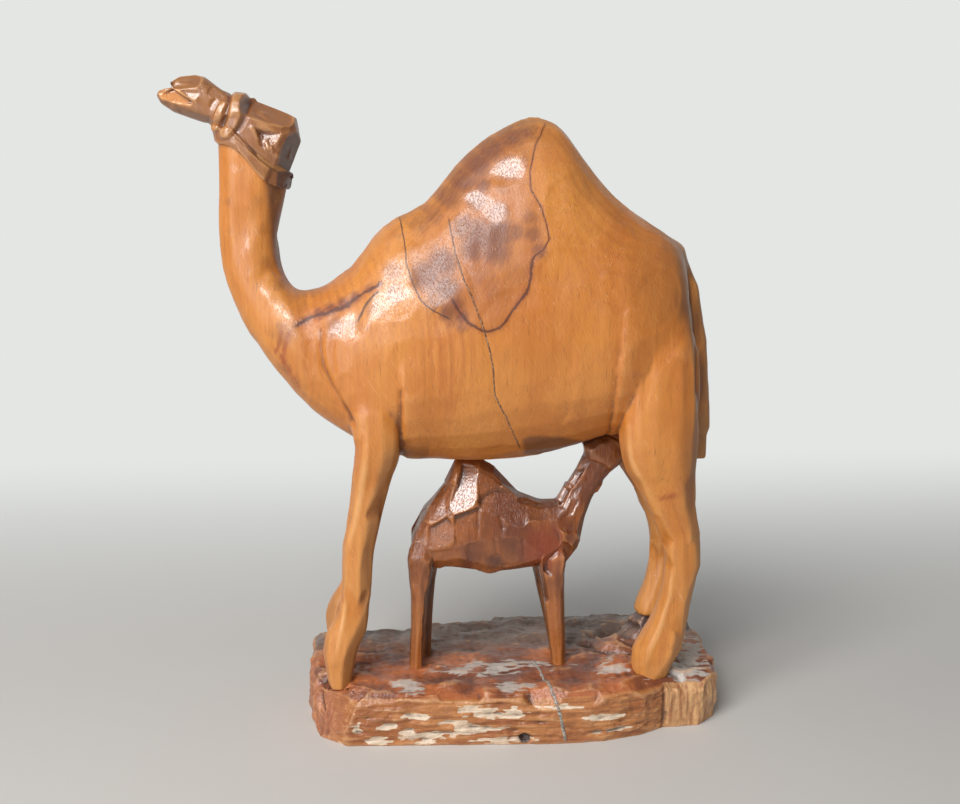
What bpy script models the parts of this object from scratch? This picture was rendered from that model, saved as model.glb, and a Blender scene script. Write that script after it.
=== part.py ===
"""A carved wooden camel cow with her nursing calf, glued up from members on a rough sawn plinth.

Metres, +Z up. The animals stand along X with their near side at -Y: the cow faces -X and the calf +X.
The origin is on the plinth's underside. Heights of the animals are measured from the plinth's top.
Each member is lofted through ribs. A rib is a closed curve across the member, drawn between a point of its
upper line and a point of its lower line, as a carver draws both lines on the side of the block.
"""

import math
from collections import namedtuple

import bmesh
import bpy
from mathutils import Vector
from mathutils.bvhtree import BVHTree

# Joints
JOINT_GAP = 0.0003

# Plinth
PLINTH_LENGTH = 0.147
PLINTH_DEPTH = 0.0705
PLINTH_FRONT = 0.031
PLINTH_HEIGHT = 0.0185
PLINTH_WORN_EDGE = 0.0014
PLINTH_UNDERCUT = 0.0010

# Cow: heights of the side view, above the plinth's top
BELLY_HEIGHT = 0.0738
FLANK_RISE = 0.0075
LEG_JOINT_DROP = 0.0016
HUMP_HEIGHT = 0.1880
WITHERS_HEIGHT = 0.1405
CROUP_HEIGHT = 0.1510
NAPE_HEIGHT = 0.1315
CHEST_HEIGHT = 0.0826
RUMP_FALL = 0.0100
RUMP_FOOT_RISE = 0.0195

# Cow: places along the side view
HUMP_X = 0.0045
WITHERS_X = -0.0538
NAPE_X = -0.0719
CHEST_X = -0.0558
CROUP_X = 0.0500
RUMP_X = 0.0570
RUMP_LEAN = 0.0042

# Cow: half widths
CHEST_HALF = 0.0185
BARREL_HALF = 0.0275
RUMP_HALF = 0.0100
NECK_HALF = 0.0088
CHEEK_HALF = 0.0092
MUZZLE_HALF = 0.0066

# Neck: the throat is the front end of the joint between neck and head
THROAT_X = -0.0978
THROAT_HEIGHT = 0.1845
NECK_DEPTH = 0.0250
NECK_JOINT_FALL = 0.0150
NAPE_BOW = 0.0054
THROAT_BOW = 0.0184

# Head
HEAD_DEPTH = 0.0198
NOSE_DEPTH = 0.0100
NOSE_SETBACK = 0.0057
JAW_STEP = 0.0004
UPPER_LIP_LENGTH = 0.0181
UPPER_LIP_RISE = 0.0058
LOWER_LIP_LENGTH = 0.0142
LOWER_LIP_RISE = 0.0078
MOUTH_CORNER_REACH = 0.0058
MOUTH_DEPTH = 0.0066
TONGUE_HALF = 0.0044

# Halter
STRAP_WIDTH = 0.0052
STRAP_THICKNESS = 0.0011
NOSEBAND_WIDTH = 0.0067
NOSEBAND_THICKNESS = 0.0014
NOSEBAND_GROOVE = 0.0008

# Cow's legs: side to side, along the body, the height of the stump that the far hind leg stands on, and the
# heights of shoulder and haunch above the leg joints
LEG_SPREAD = 0.0168
HOOF_SPREAD = 0.0142
LEG_HALF = 0.0055
SHANK_DEPTH = 0.0100
FORELEG_X = -0.0489
FORELEG_DEPTH = 0.0142
HINDLEG_X = 0.0480
HINDLEG_DEPTH = 0.0226
FOREHOOF_X = -0.0605
HINDHOOF_X = 0.0470
FAR_FORE_STRIDE = -0.0015
FAR_HIND_STRIDE = 0.0050
STUMP_HEIGHT = 0.0112
SHOULDER_HEIGHT = 0.0340
HAUNCH_HEIGHT = 0.0560

# Tail
TAIL_HALF = 0.0046
TAIL_TIP_HALF = 0.0032
TAIL_DEPTH = 0.0070
TAIL_END_HEIGHT = 0.0725

# Calf: body
CALF_BELLY_HEIGHT = 0.0322
CALF_BACK_HEIGHT = 0.0583
CALF_FLANK_RISE = 0.0020
CALF_CHEST_RISE = 0.0103
CALF_HALF = 0.0108
CALF_RUMP_X = -0.0356
CALF_HUMP_X = -0.0165
CALF_CHEST_X = 0.0238

# Calf: neck and head
CALF_NECK_HALF = 0.0047
CALF_NECK_DEPTH = 0.0090
CALF_NECK_JOINT_FALL = 0.0062
CALF_POLL_RISE = 0.0070
CALF_HEAD_HALF = 0.0050
CALF_HEAD_LENGTH = 0.0080

# Calf: legs
CALF_LEG_JOINT_HEIGHT = 0.0335
CALF_LEG_SPREAD = 0.0062
CALF_LEG_HALF = 0.0025
CALF_SHANK_DEPTH = 0.0050
CALF_FORELEG_X = 0.0130
CALF_HINDLEG_X = -0.0330
CALF_FORE_SWEEP = 0.0030
CALF_HIND_SWEEP = -0.0015
CALF_FAR_STRIDE = 0.0026
CALF_STUB_HEIGHT = 0.0130

# Filled cracks
FILL_HALF = 0.0008
FILL_DEPTH = 0.0022
FLANK_FILL_X = -0.0097
FLANK_FILL_LEAN = 0.0088
PLINTH_FILL_X = 0.0135
PLINTH_FILL_REACH = 0.0280
PLINTH_FILL_LEAN = 0.0050

# Fineness of the lofts: points round a rib, and ribs added in each span between two given ones
BODY_SIDES = 28
NECK_SIDES = 20
LEG_SIDES = 14
CALF_SIDES = 12
CALF_LEG_SIDES = 8
BODY_CUT_COUNT = 2
LEG_CUT_COUNT = 1
NOSEBAND_CUT_COUNT = 3

# Squareness of a rib's curve: 2 is an ellipse, and a larger number is nearer to a box
SQUARENESS = {"round": 2.0, "oval": 2.2, "boxy": 2.6, "flat": 8.0}

# Edges that stay sharp when a member is shaded smooth, in degrees
SANDED_CREASE = 30
KNIFE_CREASE = 12

# Heights that follow from the sizes above
LEG_JOINT_HEIGHT = BELLY_HEIGHT - LEG_JOINT_DROP
CALF_TOP_HEIGHT = BELLY_HEIGHT - JOINT_GAP
CALF_POLL_HEIGHT = BELLY_HEIGHT + FLANK_RISE - JOINT_GAP

# Directions in the side view, (x, height)
HEADWARDS = Vector((-1.0, 0.0))
TAILWARDS = Vector((1.0, 0.0))
UPWARDS = Vector((0.0, 1.0))
DOWNWARDS = Vector((0.0, -1.0))

SIDES = ((-1, "near"), (1, "far"))

Rib = namedtuple("Rib", "top bottom half y waist crown keel")


# Ribs and lofts


def rib(top, bottom, half, y=0.0, waist=0.5, crown=SQUARENESS["oval"], keel=SQUARENESS["oval"]):
    """A curve from top to bottom, both (x, height): half its width, its middle's y, the share of its height
    at which it is widest, and the squareness of its part above and below that."""
    return Rib(Vector(top), Vector(bottom), half, y, waist, crown, keel)


def numbers(r):
    return [*r.top, *r.bottom, r.half, r.y, r.waist, r.crown, r.keel]


def from_numbers(n):
    return rib(n[0:2], n[2:4], *n[4:])


def between(start, end, along, up):
    """The point that is along of the way in x and up of the way in height from start to end."""
    return Vector((start[0] + (end[0] - start[0]) * along, start[1] + (end[1] - start[1]) * up))


def mixed(start, end, share):
    return start + (end - start) * share


def smooth(ribs, cuts):
    """The ribs with cuts more in each span, on a Catmull-Rom curve through them."""
    rows = [numbers(r) for r in ribs]
    rows = [rows[0]] + rows + [rows[-1]]
    made = []
    for before, start, end, after in zip(rows, rows[1:], rows[2:], rows[3:]):
        for cut in range(cuts + 1):
            t = cut / (cuts + 1)
            made.append([curve_point(*four, t) for four in zip(before, start, end, after)])
    made.append(rows[-1])
    return [from_numbers(row) for row in made]


def curve_point(before, start, end, after, t):
    slope_in = (end - before) / 2
    slope_out = (after - start) / 2
    rise = end - start
    bend = 3 * rise - 2 * slope_in - slope_out
    twist = slope_in + slope_out - 2 * rise
    return start + t * (slope_in + t * (bend + t * twist))


def shifted(r, distance, towards):
    """The same rib, moved square to its plane to the side that towards points to."""
    along = r.top - r.bottom
    step = Vector((along.y, -along.x)).normalized() * distance
    if step.dot(towards) < 0:
        step = -step
    return r._replace(top=r.top + step, bottom=r.bottom + step)


def rib_points(r, sides, grow=0.0):
    """Points round a rib, from its top down the far side. grow sets the whole curve outwards."""
    up = (r.top - r.bottom).normalized() * grow
    top = Vector((r.top.x + up.x, r.y, r.top.y + up.y))
    bottom = Vector((r.bottom.x - up.x, r.y, r.bottom.y - up.y))
    middle = bottom.lerp(top, r.waist)
    points = []
    for index in range(sides):
        angle = 2 * math.pi * index / sides
        upper = math.cos(angle) >= 0
        power = 2 / (r.crown if upper else r.keel)
        reach = (top if upper else bottom) - middle
        across = math.copysign(abs(math.sin(angle)) ** power, math.sin(angle))
        offset = Vector((0, across * (r.half + grow), 0))
        points.append(middle + reach * abs(math.cos(angle)) ** power + offset)
    return points


def bridged(loops, closed=False):
    """A closed mesh through loops of points: with end caps, or joined end to start."""
    mesh = bmesh.new()
    rows = [[mesh.verts.new(point) for point in loop] for loop in loops]
    pairs = list(zip(rows, rows[1:]))
    if closed:
        pairs.append((rows[-1], rows[0]))
    else:
        mesh.faces.new(rows[0])
        mesh.faces.new(rows[-1])
    for low, high in pairs:
        for index in range(len(low)):
            after = (index + 1) % len(low)
            mesh.faces.new((low[index], low[after], high[after], high[index]))
    bmesh.ops.recalc_face_normals(mesh, faces=mesh.faces)
    return mesh


def lofted(ribs, sides):
    return bridged([rib_points(r, sides) for r in ribs])


def banded(ribs, sides, heights):
    """A band round a member: it lies a joint's gap off the ribs, and stands heights above that."""
    inner = [rib_points(r, sides, JOINT_GAP) for r in ribs]
    outer = [rib_points(r, sides, JOINT_GAP + height) for r, height in zip(ribs, heights)]
    return bridged(inner + outer[::-1], closed=True)


# Materials


def wood(name, colour, roughness):
    material = bpy.data.materials.new(name)
    material.use_nodes = True
    shader = material.node_tree.nodes["Principled BSDF"]
    shader.inputs["Base Color"].default_value = (*colour, 1)
    shader.inputs["Roughness"].default_value = roughness
    shader.inputs["Metallic"].default_value = 0.0
    return material


def honey_wood():
    return wood("varnished_honey_wood", (0.46, 0.19, 0.045), 0.28)


def russet_wood():
    return wood("varnished_russet_wood", (0.22, 0.065, 0.022), 0.22)


def sawn_wood():
    return wood("stained_sawn_wood", (0.21, 0.10, 0.05), 0.5)


def crack_putty():
    return wood("crack_putty", (0.22, 0.15, 0.09), 0.7)


# Objects


def placed(name, mesh, parent, material, crease=SANDED_CREASE):
    """A named object from a mesh, shaded smooth but for edges sharper than crease degrees."""
    data = bpy.data.meshes.new(name)
    mesh.to_mesh(data)
    mesh.free()
    data.shade_smooth()
    data.set_sharp_from_angle(angle=math.radians(crease))
    data.materials.append(material)
    made = bpy.data.objects.new(name, data)
    bpy.context.collection.objects.link(made)
    made.parent = parent
    return made


def helper(name, mesh, parent, material):
    made = placed(name, mesh, parent, material)
    made.hide_render = True
    made.display_type = "WIRE"
    return made


def combine(target, operation, other):
    step = target.modifiers.new(other.name, "BOOLEAN")
    step.operation = operation
    step.object = other


def empty(name, height):
    made = bpy.data.objects.new(name, None)
    made.location.z = height
    bpy.context.collection.objects.link(made)
    return made


# Plinth


def plinth_outline(grow):
    """The sawn block's edge from above, from the front's left end, as shares of half length and depth."""
    shares = [(-0.80, 0.05), (0.18, 0.0), (0.38, 0.01), (0.57, 0.06), (0.69, 0.125), (0.87, 0.14),
              (0.97, 0.235), (1.0, 0.57), (0.985, 0.91), (0.64, 1.0), (0.0, 1.0), (-0.33, 0.95),
              (-0.54, 0.86), (-0.92, 0.87), (-0.99, 0.78), (-1.0, 0.46), (-0.94, 0.16)]
    half = PLINTH_LENGTH / 2 + grow
    depth = PLINTH_DEPTH + 2 * grow
    return [(x * half, y * depth - PLINTH_FRONT - grow) for x, y in shares]


def plinth_blank():
    levels = [(0.0, -PLINTH_UNDERCUT), (PLINTH_HEIGHT / 2, 0.0),
              (PLINTH_HEIGHT - PLINTH_WORN_EDGE, 0.0), (PLINTH_HEIGHT, -PLINTH_WORN_EDGE)]
    return bridged([[Vector((x, y, z)) for x, y in plinth_outline(grow)] for z, grow in levels])


def plinth_crack(grow):
    """A leaning slab that stands for the crack: from before the front face to its end in the block."""
    front = -PLINTH_FRONT - PLINTH_WORN_EDGE
    back = PLINTH_FILL_REACH - PLINTH_FRONT + grow
    half = FILL_HALF + grow
    loops = []
    for z, lean in ((-PLINTH_HEIGHT, PLINTH_FILL_LEAN), (2 * PLINTH_HEIGHT, -PLINTH_FILL_LEAN)):
        x = PLINTH_FILL_X + lean
        loops.append([Vector((x - half, front, z)), Vector((x + half, front, z)),
                      Vector((x + half - PLINTH_FILL_LEAN, back, z)),
                      Vector((x - half - PLINTH_FILL_LEAN, back, z))])
    return bridged(loops)


def build_plinth(root, stand, sawn, putty):
    plinth = placed("plinth", plinth_blank(), root, sawn)
    combine(plinth, "UNION", helper("hind_stump", lofted(stump_ribs(), LEG_SIDES), stand, sawn))
    combine(plinth, "DIFFERENCE", helper("plinth_crack", plinth_crack(JOINT_GAP), root, sawn))
    fill = placed("plinth_crack_fill", plinth_crack(0.0), root, putty)
    combine(fill, "INTERSECT", helper("plinth_block", plinth_blank(), root, sawn))


# Cow's body


def neck_root():
    """The joint between neck and torso, along the crease that runs down the shoulder."""
    return rib((NAPE_X, NAPE_HEIGHT), (CHEST_X, CHEST_HEIGHT), CHEST_HALF, waist=0.45,
               crown=SQUARENESS["round"])


def rump_end():
    """The flat end of the rump, which leans back as it goes down and carries the tail."""
    top = (RUMP_X, CROUP_HEIGHT - RUMP_FALL)
    return rib(top, (RUMP_X + RUMP_LEAN, BELLY_HEIGHT + RUMP_FOOT_RISE), RUMP_HALF)


def torso_ribs():
    """Ribs from the neck joint to the rump. Each row is a point of the back, the shares of the belly's length
    and of the flank's rise, the share of the barrel's half width, the waist, and the back's squareness."""
    nape = (NAPE_X, NAPE_HEIGHT)
    withers = (WITHERS_X, WITHERS_HEIGHT)
    hump = (HUMP_X, HUMP_HEIGHT)
    croup = (CROUP_X, CROUP_HEIGHT)
    rump = rump_end()
    rows = [
        (between(nape, withers, 0.42, 0.17), 0.067, 0.60, 0.82, 0.45, 2.0),
        (withers, 0.135, 0.27, 0.90, 0.45, 2.0),
        (between(withers, hump, 0.17, 0.26), 0.212, 0.13, 0.955, 0.42, 1.9),
        (between(withers, hump, 0.41, 0.42), 0.289, 0.05, 0.985, 0.40, 1.8),
        (between(withers, hump, 0.585, 0.675), 0.357, 0.0, 1.0, 0.38, 1.7),
        (between(withers, hump, 0.77, 0.87), 0.426, 0.0, 1.0, 0.37, 1.65),
        (hump, 0.503, 0.07, 1.0, 0.36, 1.65),
        (between(hump, croup, 0.23, 0.087), 0.58, 0.29, 1.0, 0.37, 1.65),
        (between(hump, croup, 0.39, 0.34), 0.648, 0.60, 1.0, 0.39, 1.7),
        (between(hump, croup, 0.595, 0.64), 0.725, 1.0, 1.0, 0.42, 1.8),
        (between(hump, croup, 0.80, 0.84), 0.806, 1.33, 0.955, 0.45, 1.9),
        (croup, 0.887, 1.67, 0.855, 0.5, 2.0),
        (between(croup, rump.top, 0.69, 0.48), 0.956, 2.07, 0.655, 0.5, 2.2),
    ]
    ribs = [neck_root()]
    for back, along, rise, width, waist, crown in rows:
        belly = (mixed(CHEST_X, rump.bottom.x, along), BELLY_HEIGHT + FLANK_RISE * rise)
        ribs.append(rib(back, belly, BARREL_HALF * width, waist=waist, crown=crown))
    return smooth(ribs + [rump], BODY_CUT_COUNT)


def flank_strip(surface, grow, proud):
    """The crack down the near flank: a strip let into the barrel, FILL_DEPTH deep. Each point of its route
    is a share of the lean and of the height from belly to hump."""
    shares = [(-1.0, 0.615), (-0.49, 0.492), (-0.295, 0.396), (0.0, 0.30), (0.18, 0.216), (0.58, 0.146),
              (0.99, 0.085)]
    route = [Vector((FLANK_FILL_X + FLANK_FILL_LEAN * lean, mixed(BELLY_HEIGHT, HUMP_HEIGHT, up)))
             for lean, up in shares]
    loops = []
    for index, point in enumerate(route):
        along = (route[min(index + 1, len(route) - 1)] - route[max(index - 1, 0)]).normalized()
        side = Vector((-along.y, along.x)) * (FILL_HALF + grow)
        end = along * grow * ((index == len(route) - 1) - (index == 0))
        edges = [point + end + side, point + end - side]
        outside = [Vector((edge.x, -2 * BARREL_HALF, edge.y)) for edge in edges]
        hits = [surface.ray_cast(start, Vector((0, 1, 0)))[:2] for start in outside]
        outer = [place + facing * proud for place, facing in hits]
        inner = [place - facing * (FILL_DEPTH + grow) for place, facing in hits]
        loops.append([outer[0], outer[1], inner[1], inner[0]])
    return bridged(loops)


def build_torso(stand, honey, putty):
    barrel = lofted(torso_ribs(), BODY_SIDES)
    surface = BVHTree.FromBMesh(barrel)
    torso = placed("cow_torso", barrel, stand, honey)
    for side, name in SIDES:
        for kind, ribs in (("shoulder", shoulder_ribs(side)), ("haunch", haunch_ribs(side))):
            stub = lofted(smooth(ribs, LEG_CUT_COUNT), LEG_SIDES)
            combine(torso, "UNION", helper(f"{kind}_{name}", stub, stand, honey))
    groove = helper("flank_crack", flank_strip(surface, JOINT_GAP, FILL_DEPTH), stand, honey)
    combine(torso, "DIFFERENCE", groove)
    placed("flank_crack_fill", flank_strip(surface, 0.0, 0.0), stand, putty)


# Cow's neck and head


def throat_joint():
    """The joint between neck and head, under the throat strap's upper edge."""
    back = (THROAT_X + NECK_DEPTH, THROAT_HEIGHT - NECK_JOINT_FALL)
    return rib(back, (THROAT_X, THROAT_HEIGHT), NECK_HALF)


def strap_ribs():
    """The ends of the neck's stretch under the throat strap. Its lower end follows the neck's two lines."""
    high = throat_joint()
    back = high.top + Vector((-0.40, -0.95)) * STRAP_WIDTH
    front = high.bottom + Vector((0.25, -1.0)) * STRAP_WIDTH
    return rib(back, front, NECK_HALF), high


def neck_ribs():
    """Ribs from the chest to the strap. Each row is the share of the way up the nape, up the throat, of both
    lines' bow and of the chest's extra width."""
    rows = [(0.042, 0.092, 0.46, 0.90), (0.125, 0.22, 0.77, 0.62), (0.244, 0.346, 0.97, 0.35),
            (0.387, 0.47, 1.0, 0.165), (0.539, 0.589, 0.92, 0.05), (0.718, 0.717, 0.67, 0.0),
            (0.866, 0.856, 0.33, 0.0)]
    root = neck_root()
    low, high = strap_ribs()
    ribs = [shifted(root, JOINT_GAP, HEADWARDS)]
    for nape, throat, bow, width in rows:
        back = root.top.lerp(low.top, nape) + HEADWARDS * NAPE_BOW * bow
        front = root.bottom.lerp(low.bottom, throat) + HEADWARDS * THROAT_BOW * bow
        ribs.append(rib(back, front, mixed(NECK_HALF, CHEST_HALF, width)))
    return smooth(ribs + [low], LEG_CUT_COUNT) + [high]


def noseband_ribs():
    """The stretch of the muzzle under the noseband, from its rear edge to its front edge."""
    chin = Vector((THROAT_X, THROAT_HEIGHT))
    nose = chin + Vector((NOSE_SETBACK, NOSE_DEPTH))
    rear = rib(nose + Vector((1.0, -0.12)) * NOSEBAND_WIDTH, chin + Vector((-3.0, 3.0)) * JAW_STEP,
               mixed(MUZZLE_HALF, CHEEK_HALF, 0.54))
    front = rib(nose, chin + Vector((-7.5, 3.4)) * JAW_STEP, MUZZLE_HALF)
    return smooth([rear, front], NOSEBAND_CUT_COUNT)


def cheek_ribs(joint):
    """Ribs round the back of the head. They fan about the chin: each row is a point of the head's back as
    shares of its depth, and the steps of the jaw's line."""
    chin = Vector((THROAT_X, THROAT_HEIGHT))
    rows = [(0.13, 0.505, -0.5, 0.75), (0.06, 0.88, -1.25, 1.5), (-0.32, 1.07, -2.25, 2.25)]
    return [rib(joint.top + Vector((back, up)) * HEAD_DEPTH, chin + Vector((ahead, rise)) * JAW_STEP,
                CHEEK_HALF, crown=SQUARENESS["boxy"]) for back, up, ahead, rise in rows]


def muzzle_ribs(nose):
    """Ribs of the lips before the noseband. Each row is the shares of the upper lip's length and rise, of the
    lower lip's length and rise, and of the muzzle's half width."""
    rows = [(0.42, 0.88, 0.31, 0.18, 1.0), (0.62, 1.0, 0.66, 0.41, 0.97), (0.84, 0.97, 0.92, 0.73, 0.88),
            (1.0, 0.57, 1.0, 1.0, 0.67)]
    ribs = []
    for upper_ahead, upper_rise, lower_ahead, lower_rise, width in rows:
        lip = nose.top + Vector((-UPPER_LIP_LENGTH * upper_ahead, UPPER_LIP_RISE * upper_rise))
        jaw = nose.bottom + Vector((-LOWER_LIP_LENGTH * lower_ahead, LOWER_LIP_RISE * lower_rise))
        ribs.append(rib(lip, jaw, MUZZLE_HALF * width))
    return ribs


def head_ribs():
    joint = shifted(throat_joint(), JOINT_GAP, UPWARDS)
    nose = noseband_ribs()
    return [joint, *cheek_ribs(joint), *nose, *muzzle_ribs(nose[-1])]


def mouth_wedge(side):
    """The cut between the lips on one side, from the corner of the mouth forwards. It leaves the tongue."""
    nose = noseband_ribs()[-1]
    corner = nose.bottom.lerp(nose.top, 0.56) + HEADWARDS * MOUTH_CORNER_REACH
    upper = corner + Vector((-1.1, 0.73)) * MOUTH_DEPTH
    lower = corner + Vector((-2.0, 0.24)) * MOUTH_DEPTH
    reach = (side * TONGUE_HALF, side * 2 * CHEEK_HALF)
    return bridged([[Vector((p.x, y, p.y)) for p in (corner, upper, lower)] for y in reach])


def build_neck_and_head(stand, honey):
    placed("cow_neck", lofted(neck_ribs(), NECK_SIDES), stand, honey)
    head = placed("cow_head", lofted(head_ribs(), NECK_SIDES), stand, honey)
    for side, name in SIDES:
        combine(head, "DIFFERENCE", helper(f"mouth_wedge_{name}", mouth_wedge(side), stand, honey))
    strap = banded(strap_ribs(), NECK_SIDES, [STRAP_THICKNESS] * 2)
    placed("halter_throat_strap", strap, stand, honey)
    ridge = NOSEBAND_THICKNESS
    ridges = [ridge, ridge, ridge - NOSEBAND_GROOVE, ridge, ridge]
    placed("halter_noseband", banded(noseband_ribs(), NECK_SIDES, ridges), stand, honey)


# Cow's legs and tail


def leg_rib(front, back, height, half, y):
    return rib((front, height), (back, height), half, y, crown=SQUARENESS["boxy"], keel=SQUARENESS["boxy"])


def foreleg_top(side):
    half = FORELEG_DEPTH / 2
    return leg_rib(FORELEG_X - half, FORELEG_X + half, LEG_JOINT_HEIGHT, LEG_HALF * 1.33, side * LEG_SPREAD)


def hindleg_top(side):
    half = HINDLEG_DEPTH / 2
    return leg_rib(HINDLEG_X - half, HINDLEG_X + half, LEG_JOINT_HEIGHT, LEG_HALF * 1.55, side * LEG_SPREAD)


def stub_ribs(top, rows, x, depth, height):
    """Ribs of the shoulder or haunch above a leg's joint. Each row is the share of its height, the front and
    the back edge as shares of the joint's depth, and the shares of the leg's half width and spread."""
    ribs = [top]
    for up, front, back, width, spread in rows:
        ribs.append(leg_rib(x + depth * front, x + depth * back, LEG_JOINT_HEIGHT + height * up,
                            LEG_HALF * width, top.y * spread))
    return ribs


def shoulder_ribs(side):
    rows = [(0.265, -0.415, 0.725, 1.62, 1.0), (0.62, -0.465, 0.725, 1.73, 0.91),
            (1.0, -0.395, 0.555, 1.36, 0.76)]
    return stub_ribs(foreleg_top(side), rows, FORELEG_X, FORELEG_DEPTH, SHOULDER_HEIGHT)


def haunch_ribs(side):
    rows = [(0.18, -0.595, 0.515, 1.84, 1.0), (0.43, -0.615, 0.53, 2.02, 0.95),
            (0.715, -0.555, 0.495, 2.02, 0.87), (1.0, -0.355, 0.355, 1.55, 0.70)]
    return stub_ribs(hindleg_top(side), rows, HINDLEG_X, HINDLEG_DEPTH, HAUNCH_HEIGHT)


def leg_ribs(top, hoof_x, rows):
    """Ribs of a leg from its joint down to the hoof. Each row is the share of the way down, the distance of
    the front and the back edge from the line between joint and hoof as shares of the shank's depth, and the
    share of the leg's half width."""
    start = Vector(((top.top.x + top.bottom.x) / 2, top.y, top.top.y - JOINT_GAP))
    hoof = Vector((hoof_x, math.copysign(HOOF_SPREAD, top.y), JOINT_GAP))
    ribs = [shifted(top, JOINT_GAP, DOWNWARDS)]
    for share, front, back, width in rows:
        place = start.lerp(hoof, share)
        ribs.append(leg_rib(place.x - SHANK_DEPTH * front, place.x + SHANK_DEPTH * back, place.z,
                            LEG_HALF * width, place.y))
    return smooth(ribs, LEG_CUT_COUNT)


def cut_short(rows, end):
    """The rows of a leg that ends at a share of its way down: those well above the end, and one at the end."""
    least_span = 0.03
    for above, below in zip(rows, rows[1:]):
        if above[0] < end <= below[0]:
            share = (end - above[0]) / (below[0] - above[0])
            last = [mixed(start, stop, share) for start, stop in zip(above, below)]
    return [row for row in rows if row[0] < end - least_span] + [last]


def foreleg_ribs(side, stride):
    rows = [(0.14, 0.63, 0.54, 1.11), (0.23, 0.61, 0.48, 1.04), (0.32, 0.65, 0.44, 1.0),
            (0.38, 0.59, 0.43, 1.0), (0.46, 0.44, 0.51, 1.0), (0.53, 0.38, 0.58, 0.95),
            (0.61, 0.34, 0.52, 0.89), (0.68, 0.38, 0.58, 0.92), (0.75, 0.62, 0.58, 1.07),
            (0.82, 0.74, 0.41, 1.22), (0.89, 0.64, 0.35, 1.25), (1.0, 0.38, 0.33, 1.15)]
    return leg_ribs(foreleg_top(side), FOREHOOF_X + stride, rows)


def hindleg_ribs(side, stride):
    rows = [(0.10, 0.65, 1.15, 1.29), (0.19, 0.30, 1.20, 1.11), (0.27, 0.0, 1.33, 1.0),
            (0.35, -0.22, 1.48, 1.0), (0.43, -0.36, 1.51, 1.0), (0.51, -0.36, 1.37, 0.89),
            (0.60, -0.29, 1.27, 0.85), (0.69, -0.14, 1.19, 0.89), (0.77, 0.10, 1.12, 1.0),
            (0.84, 0.38, 1.10, 1.15), (0.90, 0.60, 0.90, 1.25), (1.0, 0.60, 0.50, 1.18)]
    if side > 0:
        rows = cut_short(rows, 1.0 - STUMP_HEIGHT / (LEG_JOINT_HEIGHT - 2 * JOINT_GAP))
    return leg_ribs(hindleg_top(side), HINDHOOF_X + stride, rows)


def stump_ribs():
    """The stump that carries the far hind leg, from inside the plinth up to the leg's end. Each row is the share
    of its height, its reach before and behind the leg's end as shares of the shank's depth, the share of the
    leg's half width, and the share of the leg's distance from the middle."""
    rows = [(-0.20, 1.70, 0.15, 2.20, 0.80), (0.12, 1.50, 0.12, 2.10, 0.82), (0.24, 1.00, 0.10, 1.90, 0.86),
            (0.60, 0.47, 0.08, 1.55, 0.93), (1.0, 0.08, 0.05, 1.28, 1.0)]
    seat = shifted(hindleg_ribs(1, FAR_HIND_STRIDE)[-1], JOINT_GAP, DOWNWARDS)
    return [leg_rib(seat.top.x - SHANK_DEPTH * ahead, seat.bottom.x + SHANK_DEPTH * behind,
                    seat.top.y * up, LEG_HALF * width, seat.y * spread)
            for up, ahead, behind, width, spread in rows]


def build_legs(stand, honey):
    strides = {"near": (0.0, 0.0), "far": (FAR_FORE_STRIDE, FAR_HIND_STRIDE)}
    for side, name in SIDES:
        fore_stride, hind_stride = strides[name]
        placed(f"cow_foreleg_{name}", lofted(foreleg_ribs(side, fore_stride), LEG_SIDES), stand, honey)
        placed(f"cow_hindleg_{name}", lofted(hindleg_ribs(side, hind_stride), LEG_SIDES), stand, honey)


def tail_ribs():
    """Ribs across the tail: its front face lies on the flat end of the rump and hangs on below it. Each row
    is the share of the way down, the share of the tail's depth and its half width."""
    rows = [(0.0, 0.20, TAIL_HALF), (0.06, 0.51, TAIL_HALF), (0.16, 0.71, TAIL_HALF), (0.40, 0.97, TAIL_HALF),
            (0.66, 1.0, TAIL_HALF), (0.84, 0.97, TAIL_HALF), (0.875, 0.77, TAIL_TIP_HALF),
            (1.0, 0.66, TAIL_TIP_HALF)]
    seat = shifted(rump_end(), JOINT_GAP, TAILWARDS)
    down = (seat.bottom - seat.top).normalized()
    length = (TAIL_END_HEIGHT - seat.top.y) / down.y
    ribs = []
    for share, depth, half in rows:
        front = seat.top + down * length * share
        back = front + TAILWARDS * TAIL_DEPTH * depth
        ribs.append(rib(back, front, half, crown=SQUARENESS["boxy"], keel=SQUARENESS["flat"]))
    return ribs


def build_tail(stand, honey):
    placed("cow_tail", lofted(tail_ribs(), LEG_SIDES), stand, honey)


# Calf


def calf_neck_joint():
    low = (CALF_CHEST_X, CALF_BELLY_HEIGHT + CALF_CHEST_RISE)
    high = (mixed(CALF_HUMP_X, CALF_CHEST_X, 0.77), CALF_BACK_HEIGHT)
    return rib(high, low, CALF_NECK_HALF * 1.6, crown=SQUARENESS["boxy"])


def calf_rump_ribs():
    """Ribs from the calf's rump to its hump. Each row is the shares of the way to the hump and of the body's
    height at the top, both again at the bottom, and the share of the half width."""
    rows = [(0.01, 0.605, 0.0, 0.107, 0.72), (0.24, 0.93, 0.295, 0.10, 0.89)]
    rump = (CALF_RUMP_X, CALF_BELLY_HEIGHT)
    hump = (CALF_HUMP_X, CALF_BACK_HEIGHT)
    return [rib(between(rump, hump, back, up), between(rump, hump, low, rise), CALF_HALF * width)
            for back, up, low, rise, width in rows]


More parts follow.
